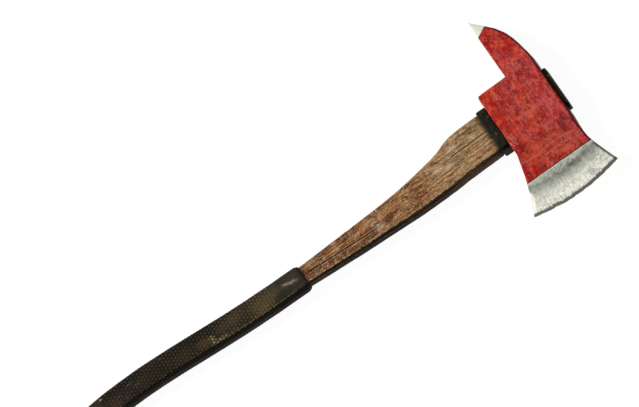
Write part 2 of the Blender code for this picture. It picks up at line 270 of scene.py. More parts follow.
class Nodes:
    """A little language for writing a material as arithmetic on sockets."""

    def __init__(self, name):
        self.mat = bpy.data.materials.new(name)
        self.mat.use_nodes = True
        self.nt = self.mat.node_tree
        self.bsdf = self.nt.nodes["Principled BSDF"]

    def new(self, kind, **props):
        node = self.nt.nodes.new(kind)
        for key, value in props.items():
            setattr(node, key, value)
        return node

    def put(self, socket, value):
        if hasattr(value, "links") or isinstance(value, bpy.types.NodeSocket):
            self.nt.links.new(value, socket)
        elif isinstance(value, (tuple, list)) and socket.type == "RGBA" and len(value) == 3:
            socket.default_value = (*value, 1.0)
        else:
            socket.default_value = value

    def attr(self, name, out="Fac"):
        return self.new("ShaderNodeAttribute", attribute_name=name).outputs[out]

    def m(self, op, a, b=0.0, c=0.0, clamp=False):
        node = self.new("ShaderNodeMath", operation=op, use_clamp=clamp)
        self.put(node.inputs[0], a)
        self.put(node.inputs[1], b)
        if len(node.inputs) > 2:
            self.put(node.inputs[2], c)
        return node.outputs[0]

    def add(self, a, b, clamp=False):
        return self.m("ADD", a, b, clamp=clamp)

    def mul(self, a, b, clamp=False):
        return self.m("MULTIPLY", a, b, clamp=clamp)

    def sub(self, a, b, clamp=False):
        return self.m("SUBTRACT", a, b, clamp=clamp)

    def absolute(self, a):
        return self.m("ABSOLUTE", a)

    def rng(self, x, a, b, c=0.0, d=1.0, kind="SMOOTHSTEP"):
        node = self.new("ShaderNodeMapRange", interpolation_type=kind)
        node.clamp = True
        for i, v in enumerate((x, a, b, c, d)):
            self.put(node.inputs[i], v)
        return node.outputs[0]

    def scaled(self, vec, s, offset=(0, 0, 0)):
        node = self.new("ShaderNodeVectorMath", operation="MULTIPLY_ADD")
        self.put(node.inputs[0], vec)
        node.inputs[1].default_value = s if isinstance(s, (tuple, list)) else (s, s, s)
        node.inputs[2].default_value = offset
        return node.outputs[0]

    def vadd(self, a, b):
        node = self.new("ShaderNodeVectorMath", operation="ADD")
        self.put(node.inputs[0], a)
        self.put(node.inputs[1], b)
        return node.outputs[0]

    def xyz(self, vec):
        node = self.new("ShaderNodeSeparateXYZ")
        self.put(node.inputs[0], vec)
        return node.outputs[0], node.outputs[1], node.outputs[2]

    def noise(self, vec, scale=1.0, detail=2.0, rough=0.5, distort=0.0, out="Fac"):
        node = self.new("ShaderNodeTexNoise")
        self.put(node.inputs["Vector"], vec)
        node.inputs["Scale"].default_value = scale
        node.inputs["Detail"].default_value = detail
        node.inputs["Roughness"].default_value = rough
        node.inputs["Distortion"].default_value = distort
        return node.outputs[out]

    def voronoi(self, vec, scale=1.0, feature="F1", rnd=1.0):
        node = self.new("ShaderNodeTexVoronoi", feature=feature)
        self.put(node.inputs["Vector"], vec)
        node.inputs["Scale"].default_value = scale
        node.inputs["Randomness"].default_value = rnd
        return node.outputs["Distance"]

    def mix(self, fac, a, b, mode="MIX"):
        node = self.new("ShaderNodeMix", data_type="RGBA", blend_type=mode)
        self.put(node.inputs[0], fac)
        self.put(node.inputs[6], a)
        self.put(node.inputs[7], b)
        return node.outputs[2]

    def mixf(self, fac, a, b):
        node = self.new("ShaderNodeMix", data_type="FLOAT")
        self.put(node.inputs[0], fac)
        self.put(node.inputs[2], a)
        self.put(node.inputs[3], b)
        return node.outputs[0]

    def bump(self, height, distance_mm, strength=1.0, normal=None):
        node = self.new("ShaderNodeBump")
        node.inputs["Strength"].default_value = strength
        node.inputs["Distance"].default_value = distance_mm / 1000.0
        self.put(node.inputs["Height"], height)
        if normal is not None:
            self.put(node.inputs["Normal"], normal)
        return node.outputs[0]

    def spot(self, x, y, cx, cy, rx, ry, wobble=None):
        """1 inside a soft ellipse, 0 outside."""
        dx = self.m("DIVIDE", self.sub(x, cx), rx)
        dy = self.m("DIVIDE", self.sub(y, cy), ry)
        d = self.m("SQRT", self.add(self.mul(dx, dx), self.mul(dy, dy)))
        if wobble is not None:
            d = self.add(d, wobble)
        return self.rng(d, 1.15, 0.55)


def dress(obj, nodes, body="root", replaces=()):
    obj.data.materials.clear()
    obj.data.materials.append(nodes.mat)
    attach(obj, body)
    for node in replaces:
        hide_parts(node)


# ============================================================ the axe's own sizes (mm)
GAP = 0.35
EDGE_CENTRE = np.array([40.0, 115.0])
EDGE_RADIUS = 257.0
EDGE_LAND = 4.5
EYE_Y = (-6.8, -8.6)
EYE = ((-3.0, 57.6, 20.4), (45.0, 56.0, 19.4), (91.0, 59.4, 22.4))
TONGUE_END = 86.4
SHOULDER = (
    (-15.8, -6.7, 61.8, 30.0), (-36.0, -6.9, 61.8, 30.0), (-54.0, -7.4, 61.2, 30.0),
    (-68.0, -9.3, 58.2, 29.6), (-80.0, -11.5, 54.8, 29.0), (-107.0, -14.4, 50.2, 28.0),
    (-133.0, -16.2, 46.4, 27.3), (-159.0, -17.1, 42.6, 26.7), (-211.0, -17.0, 37.5, 25.8),
    (-263.0, -16.0, 33.2, 25.0), (-315.0, -14.7, 28.0, 24.0),
)
GRIP = (
    (-322.0, -14.8, 35.2, 29.0), (-367.0, -13.8, 35.2, 29.0), (-419.0, -11.5, 35.2, 29.0),
    (-471.0, -7.7, 35.2, 29.0), (-523.0, -3.7, 35.2, 29.0), (-575.0, -1.7, 35.2, 29.0),
    (-612.0, -2.1, 35.2, 29.0), (-640.0, -4.3, 35.6, 29.6), (-662.0, -7.8, 38.0, 31.2),
    (-682.0, -12.6, 42.6, 33.6), (-699.0, -18.0, 47.2, 35.6), (-712.0, -22.8, 49.6, 36.0),
)
GRIP_WALL = 3.1
BUTT_X = -720.0


def eye_middle(x):
    return EYE_Y[0] + (EYE_Y[1] - EYE_Y[0]) * np.asarray(x, float) / 88.0


def lean_of(stations, x):
    return np.arctan2(hermite(stations, x + 3.0)[..., 0] - hermite(stations, x - 3.0)[..., 0], 6.0)


def eight_sided(rows, main, side, cut_count, corner):
    """Rings of a flat-sided octagon with eased corners. rows: x, y, width, thick, cut_y, cut_z, lean, ease."""
    x, y, w, t, cy, cz, lean, ease = np.asarray(rows, float).T
    hw, ht = w / 2, t / 2
    corners = [np.stack(c, 1) for c in (
        (hw, -(ht - cz)), (hw, ht - cz), (hw - cy, ht), (-(hw - cy), ht),
        (-hw, ht - cz), (-hw, -(ht - cz)), (-(hw - cy), -ht), (hw - cy, -ht),
    )]
    counts = (side, cut_count, main, cut_count, side, cut_count, main, cut_count)

    def eased(here, other):
        away = other - here
        length = np.sqrt((away**2).sum(1))
        return here + away * (np.minimum(ease, 0.3 * length) / length)[:, None]

    parts = []
    for i in range(8):
        here, before, after = corners[i], corners[i - 1], corners[(i + 1) % 8]
        a, b, c = eased(here, before), eased(here, after), eased(after, here)
        s = np.linspace(0, 1, corner)[None, :, None]
        parts.append((1 - s)**2 * a[:, None] + 2 * s * (1 - s) * here[:, None] + s**2 * b[:, None])
        s = ((np.arange(counts[i]) + 1) / (counts[i] + 1))[None, :, None]
        parts.append(b[:, None] + (c - b)[:, None] * s)
    ring = np.concatenate(parts, 1)
    a, b = ring[..., 0], ring[..., 1]
    lean = lean[:, None]
    return np.stack([x[:, None] - np.sin(lean) * a, y[:, None] + np.cos(lean) * a, b], -1)


def eye_rows(by, xs):
    xs = np.asarray(xs, float)
    size = hermite(EYE, xs) + 2 * by
    n = len(xs)
    return np.stack([xs, eye_middle(xs), size[:, 0], size[:, 1], np.full(n, 8.0), np.full(n, 6.0), np.zeros(n), np.full(n, 2.5)], 1)


def wedge_block(name, x0, x1, y0, y1, width, at_x0, at_x1, thin="z"):
    corners = []
    for x, y, thick in ((x0, y0, at_x0), (x1, y1, at_x1)):
        dy, dz = (width / 2, thick / 2) if thin == "z" else (thick / 2, width / 2)
        corners += [(x, y - dy, -dz), (x, y + dy, -dz), (x, y + dy, dz), (x, y - dy, dz)]
    faces = [(0, 1, 2, 3), (4, 5, 6, 7), (0, 1, 5, 4), (1, 2, 6, 5), (2, 3, 7, 6), (3, 0, 4, 7)]
    return mesh_object(name, np.array(corners), np.array(faces), 0)


# ============================================================ head
LEFT_SIDE = [(y, x) for x, y in (
    (2.6, 41.0), (1.2, 39.9), (0.4, 38.4), (0.0, 36.0), (0.0, 30.0), (0.0, -44.0), (0.0, -52.5), (-1.3, -57.0), (-3.7, -65.0),
    (-6.6, -75.5), (-11.3, -91.0), (-15.7, -102.6), (-15.2, -105.2), (-18.3, -109.8), (-22.5, -118.7),
    (-29.6, -135.6), (-30.4, -152.0),
)]
RIGHT_SIDE = [(y, x) for x, y in (
    (110.6, -152.0), (104.6, -137.2), (97.7, -117.3), (93.6, -105.0), (90.4, -95.0), (88.3, -86.0),
    (87.2, -75.0), (87.2, -64.0), (88.0, -50.0), (88.0, -40.0), (88.0, 36.0), (87.6, 50.0), (84.2, 69.0),
    (81.2, 81.6), (76.8, 93.6), (69.2, 106.8), (58.4, 119.8), (43.7, 136.4),
)]
HALF = (
    (137.0, 0.9), (122.0, 3.6), (110.0, 6.0), (94.0, 8.8), (70.0, 12.6), (52.0, 15.4), (40.0, 16.6), (28.0, 17.0),
    (0.0, 17.0), (-38.0, 17.0), (-45.0, 16.0), (-53.0, 13.2), (-62.0, 10.6), (-74.0, 8.4), (-90.0, 6.8),
    (-120.0, 6.6), (-156.0, 6.4),
)
DISC = ((150.0, 60.0), (174.0, 30.0), (190.0, 9.6), (206.0, 6.6), (220.0, 4.9), (236.0, 3.4), (252.5, 2.3))
TIP_Y = 136.15

_ys = np.arange(-152, 137, 0.25)


def _eased(table, width):
    xs = np.interp(_ys, *np.array(sorted(table)).T)
    kernel = np.hanning(width + 2)[1:-1]
    padded = np.pad(xs, width // 2, mode="edge")
    return np.convolve(padded, kernel / kernel.sum(), "valid")


_left_table = _eased(LEFT_SIDE, 7)
_right_table = _eased(RIGHT_SIDE, 29)
_right_table[_ys > 130] = np.interp(_ys, *np.array(sorted(RIGHT_SIDE)).T)[_ys > 130]


def x_left(y):
    """The side of the head towards the grip. Above the lug it is the pick's underside."""
    y = np.asarray(y, float)
    lower = np.interp(y, _ys, _left_table)
    lower = np.where(y > 36.0, np.interp(y, [36.0, 38.4, 39.9, 41.0], [0.0, 0.4, 1.2, 2.6]), lower)
    return lower


def x_under(y):
    """The straight underside of the pick, with a small fillet where it meets the lug."""
    y = np.asarray(y, float)
    straight = 45.0 - 1.3 * (y - 41.0) / 95.4
    low = np.clip(y - 41.0, 0, 1.2)
    return straight - (1.2 - np.sqrt(np.maximum(1.44 - (1.2 - low)**2, 0)))


def x_right(y):
    return np.interp(np.asarray(y, float), _ys, _right_table)


def edge_bite(x):
    """How far the cutting edge has been worn back at x."""
    x = np.asarray(x, float)

    def slow(pitch, seed):
        return vnoise(np.stack([x / pitch, x * 0, x * 0], -1).reshape(-1, 3), seed).reshape(x.shape)

    bite = 0.45 + 0.22 * slow(8.0, 3) + 0.12 * slow(2.7, 4)
    for at, wide, deep in ((-10, 14, 0.35), (66, 4, 0.35), (85, 8, 0.35), (49, 6, 0.25)):
        bite = bite + deep * np.exp(-((x - at) / wide)**4)
    # Chips: steep on one side, drawn out on the other.
    for at, steep, gentle, deep in ((2.0, 1.2, 7.5, 1.05), (20.5, 0.9, 4.5, 0.55), (31.5, 1.0, 5.5, 0.95), (45.0, 0.8, 3.0, 0.5),
                                    (59.5, 1.0, 6.5, 0.70), (73.0, 0.9, 4.0, 0.55), (81.0, 1.1, 5.0, 0.60), (94.0, 1.3, 4.5, 0.55), (-18.0, 0.9, 3.5, 0.40)):
        d = x - at
        bite = bite + deep * np.where(d < 0, np.exp(-(d / steep)**2), np.exp(-(d / gentle)**1.0 * (d > 0)))
    return bite


def half_thick(x, y):
    """Half thickness of the head before its edges are rounded."""
    cheek = hermite(HALF, y)
    r = np.hypot(x - EDGE_CENTRE[0], y - EDGE_CENTRE[1])
    ground = hermite(DISC, np.minimum(r, 252.5))
    ground = np.where(r > 252.5, np.interp(r, [252.5, 257.0], [2.3, 0.22]), ground)
    ground = np.where(y > -30, 60.0, ground)
    k = 0.3
    low = np.minimum(cheek, ground)
    return low - k * np.log(np.exp(-(cheek - low) / k) + np.exp(-(ground - low) / k))


def graded(start, stop, step, at_start=True, at_stop=True):
    """Stops from start to stop, closer together at the ends that are rounded."""
    near = np.array([0, 0.12, 0.35, 0.7, 1.15, 1.75])
    a = near if at_start else np.array([0.0])
    b = near if at_stop else np.array([0.0])
    inner = np.linspace(a[-1], (stop - start) - b[-1], max(2, int(round(((stop - start) - a[-1] - b[-1]) / step)) + 1))
    return start + np.concatenate([a[:-1], inner, (stop - start) - b[:-1][::-1]])


def head_mesh():
    step = 0.88 * COARSE
    notch = float(x_under(41.0))
    cols_a = graded(float(x_left(41.0)), notch, step, True, False)
    cols_b = graded(notch, float(x_right(41.0)), step, True, True)
    span = float(x_right(41.0)) - float(x_left(41.0))
    g = (np.concatenate([cols_a, cols_b[1:]]) - float(x_left(41.0))) / span
    first = len(cols_a) - 1                      # column of the notch
    levels = -graded(-41.0, 136.0, step, True, False)
    levels = np.concatenate([levels, -np.linspace(136.5, 142.0, int(12 / COARSE))])

    # Body: straight levels at the top that bend into arcs round the cutting edge's centre.
    X = np.zeros((len(levels), len(g)))
    Y = np.zeros_like(X)
    w = smoothstep(-50, -105, levels)[:, None]
    r = EDGE_CENTRE[1] - levels[:, None]

    def y_on(x):
        arc = EDGE_CENTRE[1] - np.sqrt(np.maximum(r**2 - (x - EDGE_CENTRE[0])**2, 1.0))
        return levels[:, None] + w * (arc - levels[:, None])

    xl, xr = np.zeros((len(levels), 1)), np.full((len(levels), 1), 88.0)
    for _ in range(12):
        xl, xr = x_left(y_on(xl)), x_right(y_on(xr))
    X = xl + g[None, :] * (xr - xl)
    Y = y_on(X)

    # Pick: the same columns, from the notch outwards.
    rises = graded(41.0, TIP_Y, step, True, False)[1:]
    rises = np.concatenate([rises[:-1], [TIP_Y - 0.35, TIP_Y]])
    gp = (g[first:] - g[first]) / (1 - g[first])
    PX = x_under(rises)[:, None] + gp[None, :] * (x_right(rises) - x_under(rises))[:, None]
    PY = np.repeat(rises[:, None], len(gp), 1)

    nb, npk = X.size, PX.size
    flat = np.stack([np.concatenate([X.ravel(), PX.ravel()]), np.concatenate([Y.ravel(), PY.ravel()])], 1)
    body = np.arange(nb).reshape(X.shape)
    pick = nb + np.arange(npk).reshape(PX.shape)
    pick = np.concatenate([body[0, first:][None], pick])

    def quads(ids):
        return np.stack([ids[:-1, :-1], ids[:-1, 1:], ids[1:, 1:], ids[1:, :-1]], -1).reshape(-1, 4)

    faces = np.concatenate([quads(body), quads(pick)])

    # The open edge of that sheet, once round.
    rim = np.concatenate([
        body[:, 0][::-1],                        # up the side towards the grip
        body[0, 1:first + 1],                    # along the lug
        pick[1:, 0],                             # up the pick's underside
        pick[-1, 1:],                            # across the tip
        pick[:-1, -1][::-1],                     # down the pick's back
        body[1:, -1],                            # down the far side
        body[-1, 1:-1][::-1],                    # back along the cutting edge
    ])
    x, y = flat.T
    path = np.concatenate([
        flat[body[:, 0][::-1]], flat[body[0, 1:first + 1]], flat[pick[1:, 0]], flat[pick[-1, 1:]],
        flat[pick[:-1, -1][::-1]], flat[body[1:, -1]],
    ])
    left_path = flat[body[:, 0]]
    right_path = flat[body[:, -1]]
    away = distance_to_path(flat, path)

    t = half_thick(x, y)
    # Ground facets down both ends of the bit.
    low = y < -80
    left_away = distance_to_path(flat[low], left_path)
    right_away = distance_to_path(flat[low], right_path)
    heel_wide = 5.2 * smoothstep(-97, -118, y[low]) * (1 - 0.25 * smoothstep(-128, -138, y[low])) + 1e-3
    toe_wide = 2.6 * smoothstep(-92, -104, y[low]) + 1e-3
    t[low] *= (0.38 + 0.62 * np.clip(left_away / heel_wide, 0, 1)) * (0.42 + 0.58 * np.clip(right_away / toe_wide, 0, 1))
    width = np.where(y > 41, x_right(y) - x_under(y), 88.0)
    radius = np.minimum(np.minimum(1.35, 0.45 * t), 0.42 * width)
    radius = np.where(y < -92, np.minimum(radius, 0.35), radius)
    inside = np.clip(radius - away, 0, None)
    t = t - (radius - np.sqrt(np.maximum(radius**2 - inside**2, 0)))
    t = np.maximum(t, 0.12)
    y = y + edge_bite(x) * smoothstep(-133, -141.5, (EDGE_CENTRE[1] - np.hypot(x - EDGE_CENTRE[0], y - EDGE_CENTRE[1])))

    n = len(flat)
    rings = 8
    verts = [np.stack([x, y, t], 1), np.stack([x, y, -t], 1)]
    s = np.linspace(1, -1, rings + 1)[1:-1]
    for k in s:
        verts.append(np.stack([x[rim], y[rim], t[rim] * k], 1))
    verts = np.concatenate(verts)
    strips = [rim] + [2 * n + i * len(rim) + np.arange(len(rim)) for i in range(len(s))] + [rim + n]
    walls = []
    for a, b in zip(strips, strips[1:]):
        walls.append(np.stack([a, np.roll(a, -1), np.roll(b, -1), b], 1))
    faces = np.concatenate([faces, faces[:, ::-1] + n] + walls)
    obj = mesh_object("head", verts, faces, 0)
    return obj, path


head, head_path = head_mesh()

# Cut the eye through it, from underside to top.
eye_cutter = lofted("eye_cutter", eight_sided(eye_rows(0.0, np.linspace(-6, 95, 30)), 20, 6, 5, 5), 0)
cut(head, eye_cutter)


def roughen_head():
    """Hammered unevenness, knocks along the edges and small dings on the cheeks."""
    co = coords(head)
    no = normals(head)
    bright = smoothstep(-90, -94, co[:, 1])
    sharp = np.clip((EDGE_RADIUS - np.hypot(co[:, 0] - 40, co[:, 1] - 115)) / 6.0, 0, 1) * np.clip((136 - co[:, 1]) / 12, 0, 1)
    amount = (0.10 * fbm(co / 17, 2, 1) + 0.030 * fbm(co / [2.4, 5, 2.4], 2, 5)) * (1 - 0.55 * bright)
    co = co + no * (amount * sharp)[:, None]
    rng = np.random.default_rng(7)
    edge_at = head_path[rng.integers(40, len(head_path) - 40, 90)]
    for at in edge_at:
        half = float(half_thick(at[0], at[1])) * (1 if rng.random() < 0.72 else -1)
        centre = np.array([at[0], at[1], half * rng.uniform(0.82, 1.0)])
        reach = rng.uniform(0.7, 2.3)
        near = np.where((abs(co - centre) < reach * 2).all(1))[0]
        if len(near) == 0 or at[1] < -118 or at[1] > 126:
            continue
        d = np.sqrt((((co[near] - centre) / [1.0, 1.5, 1.0])**2).sum(1)) / reach
        dip = (rng.uniform(0.10, 0.30) * np.exp(-d**2 * 1.6))[:, None]
        co[near] -= no[near] * dip
    for _ in range(70):
        centre = np.array([rng.uniform(2, 86), rng.uniform(-86, 100), 0])
        side = 1 if rng.random() < 0.5 else -1
        reach = rng.uniform(0.8, 2.2)
        stretch = rng.uniform(0.5, 3.0)
        turn = rng.uniform(0, math.pi)
        near = np.where((abs(co[:, :2] - centre[:2]) < reach * 4).all(1) & (co[:, 2] * side > 2))[0]
        if len(near) == 0:
            continue
        dx, dy = (co[near, :2] - centre[:2]).T
        u = (dx * math.cos(turn) + dy * math.sin(turn)) / (reach * stretch)
        v = (-dx * math.sin(turn) + dy * math.cos(turn)) / reach
        co[near] -= no[near] * (rng.uniform(0.05, 0.16) * np.exp(-(u * u + v * v)))[:, None]
    set_coords(head, co)


roughen_head()
shade(head, 32)


def head_attributes():
    co = coords(head)
    store(head, "rim", np.minimum(distance_to_path(co[:, :2], head_path), 20.0))
    unbitten = co[:, 1] - edge_bite(co[:, 0])
    store(head, "from_edge", EDGE_RADIUS - np.hypot(co[:, 0] - 40.0, unbitten - 115.0))
    low = np.where(co[:, 1] < -80)[0]
    heel, toe = np.zeros(len(co)), np.zeros(len(co))
    wall = np.abs(co[low, 2]) < 0.30 * half_thick(co[low, 0], co[low, 1])
    left = co[low, 0] - x_left(co[low, 1])
    right = x_right(co[low, 1]) - co[low, 0]
    heel_wide = 5.2 * smoothstep(-97, -118, co[low, 1]) + 1e-3
    toe_wide = 2.6 * smoothstep(-92, -104, co[low, 1]) + 1e-3
    heel[low] = smoothstep(1.25, 0.95, left * 0.93 / heel_wide) * smoothstep(-97, -104, co[low, 1])
    toe[low] = smoothstep(1.3, 0.9, right * 0.94 / toe_wide) * smoothstep(-92, -98, co[low, 1])
    store(head, "heel", heel)
    store(head, "toe", toe)


head_attributes()


# ============================================================ handle
def handle_rows():
    rows = []

    def inside_grip(x):
        y, w, t = hermite(GRIP, x)
        return y, w - 2 * GRIP_WALL, t - 2 * GRIP_WALL + 0.6

    def shoulder(x):
        y, w, t = hermite(SHOULDER, x)
        broad = (w - 28.0) / 34.0
        return np.array([y, w, t, 3.0 + 1.5 * broad, 6.0 + 2.0 * broad, float(lean_of(SHOULDER, np.array(x))), 1.3])

    def under_rubber(x):
        y, w, t = inside_grip(x)
        return np.array([y, w, t, 4.0, 6.5, float(lean_of(GRIP, np.array(x))), 1.3])

    for x in (-716.2, -715.4, -714.0, -712.0, *np.arange(-706, -330, 7.0)):
        row = under_rubber(x)
        if x < -714.5:
            row[1:3] -= 5.0 if x < -716 else 2.4
        rows.append([x, *row])
    start, end = under_rubber(-326.0), shoulder(-312.0)
    for x in np.linspace(-326, -312, 14):
        s = (x + 326) / 14.0
        rows.append([x, *(start * (1 - s) + end * s)])
    for x in np.linspace(-311, -16.4, int(300 / (0.98 * COARSE))):
        rows.append([x, *shoulder(x)])
    rows.append([-15.8, *shoulder(-15.8)])
    for x in (-14.35, -11.0, -7.5, -4.0, -1.6):
        rows.append([x, float(eye_middle(x)), 59.3, 28.7, 4.0, 7.5, 0.0, 1.3])
    rows += eye_rows(-GAP, [-1.2, *np.linspace(3, TONGUE_END - 1, 26), TONGUE_END]).tolist()
    return rows


def worn(x, y, z):
    """Slow unevenness of handled wood, mm."""
    p = np.stack([x, y, z], 1)
    return 0.28 * fbm(p / [46, 17, 17], 2, 31) + 0.10 * fbm(p / [15, 6, 6], 2, 33)


CRACKS = (
    # from x, to x, y at each, half width, depth
    (-76.6, -14.0, -4.2, -3.6, 0.55, 0.85),
    (-314.2, -202.2, -15.4, -23.1, 0.55, 0.95),
    (-52.9, -16.4, 11.4, 10.6, 0.45, 0.30),
    (-292.0, -236.0, -8.6, -11.4, 0.4, 0.22),
    (-186.0, -128.0, -20.0, -19.0, 0.4, 0.25),
)


def crack_line(x, crack, seed):
    x0, x1, y0, y1 = crack[:4]
    s = np.clip((x - x0) / (x1 - x0), 0, 1)
    p = np.stack([x / 13.0, x * 0 + seed, x * 0], -1)
    return y0 + (y1 - y0) * s + 0.45 * vnoise(p, 40)


rows = handle_rows()
handle = lofted("handle_shaft", eight_sided(rows, 46, 12, 8, 5), 0)
for piece in (
    wedge_block("kerf_slot", 34.0, 95.0, float(eye_middle(34)), float(eye_middle(95)), 90.0, 1.8, 5.2),
    wedge_block("step_slot_a", 61.0 - GAP, 95.0, float(eye_middle(61)) - 15.0, float(eye_middle(95)) - 15.0, 15.0 + 2 * GAP, 1.2 + 2 * GAP, 4.4 + 2 * GAP, "y"),
    wedge_block("step_slot_b", 61.0 - GAP, 95.0, float(eye_middle(61)) + 15.0, float(eye_middle(95)) + 15.0, 15.0 + 2 * GAP, 1.2 + 2 * GAP, 4.4 + 2 * GAP, "y"),
):
    cut(handle, piece)


def ridge_distance(co):
    """Distance across the section to the nearest long ridge, and to the ridge under the main face."""
    size = hermite(SHOULDER, co[:, 0])
    y0, w, t = size.T
    broad = (w - 28.0) / 34.0
    cy = 3.0 + 1.5 * broad
    cz = 6.0 + 2.0 * broad
    a, b = co[:, 1] - y0, co[:, 2]
    best = np.full(len(co), 99.0)
    for u, v in ((w / 2 - cy, t / 2), (w / 2, t / 2 - cz)):
        best = np.minimum(best, np.hypot(abs(a) - u, abs(b) - v))
    lower = np.hypot(a + (w / 2 - cy), b - t / 2)
    return best, lower


def carve_handle():
    co = coords(handle)
    no = normals(handle)
    x, y, z = co.T
    seen = smoothstep(-318, -312, x) * smoothstep(-13.5, -15.5, x)
    amount = worn(x, y, z)
    fibres = fbm(np.stack([x / 60, y / 1.7, z / 1.7], 1), 2, 35)
    pores = np.clip(vnoise(np.stack([x / 16, y / 1.15, z / 1.15], 1), 36) - 0.35, 0, 1)
    amount = amount + 0.085 * fibres - 0.28 * pores
    ridge, lower = ridge_distance(co)
    nibble = np.clip(fbm(np.stack([x / 9, y / 8, z / 8], 1), 2, 37), 0, 1)
    amount = amount - (0.18 + 0.75 * nibble) * np.exp(-(ridge / 1.5)**2)
    for k, crack in enumerate(CRACKS):
        x0, x1, y0, y1, half, deep = crack
        line = crack_line(x, crack, k)
        ends = smoothstep(x0 - 1, x0 + 8, x) * smoothstep(x1 + 1, x1 - 4, x)
        amount = amount - deep * np.exp(-((y - line) / (half + 0.25))**2) * ends * (z > 5)
    # One crack on the far face.
    line = -9.0 + 0.02 * (x + 180) + 0.6 * vnoise(np.stack([x / 17, x * 0, x * 0], 1), 44)
    amount = amount - 0.7 * np.exp(-((y - line) / 0.8)**2) * (z < -5) * smoothstep(-226, -212, x) * smoothstep(-120, -132, x)
    co = co + no * (amount * seen)[:, None]
    set_coords(handle, co)
    co = coords(handle)
    ridge, lower = ridge_distance(co)
    store(handle, "ridge", np.minimum(ridge, 20))
    store(handle, "lower_ridge", np.minimum(lower, 20))


carve_handle()
shade(handle, 38)


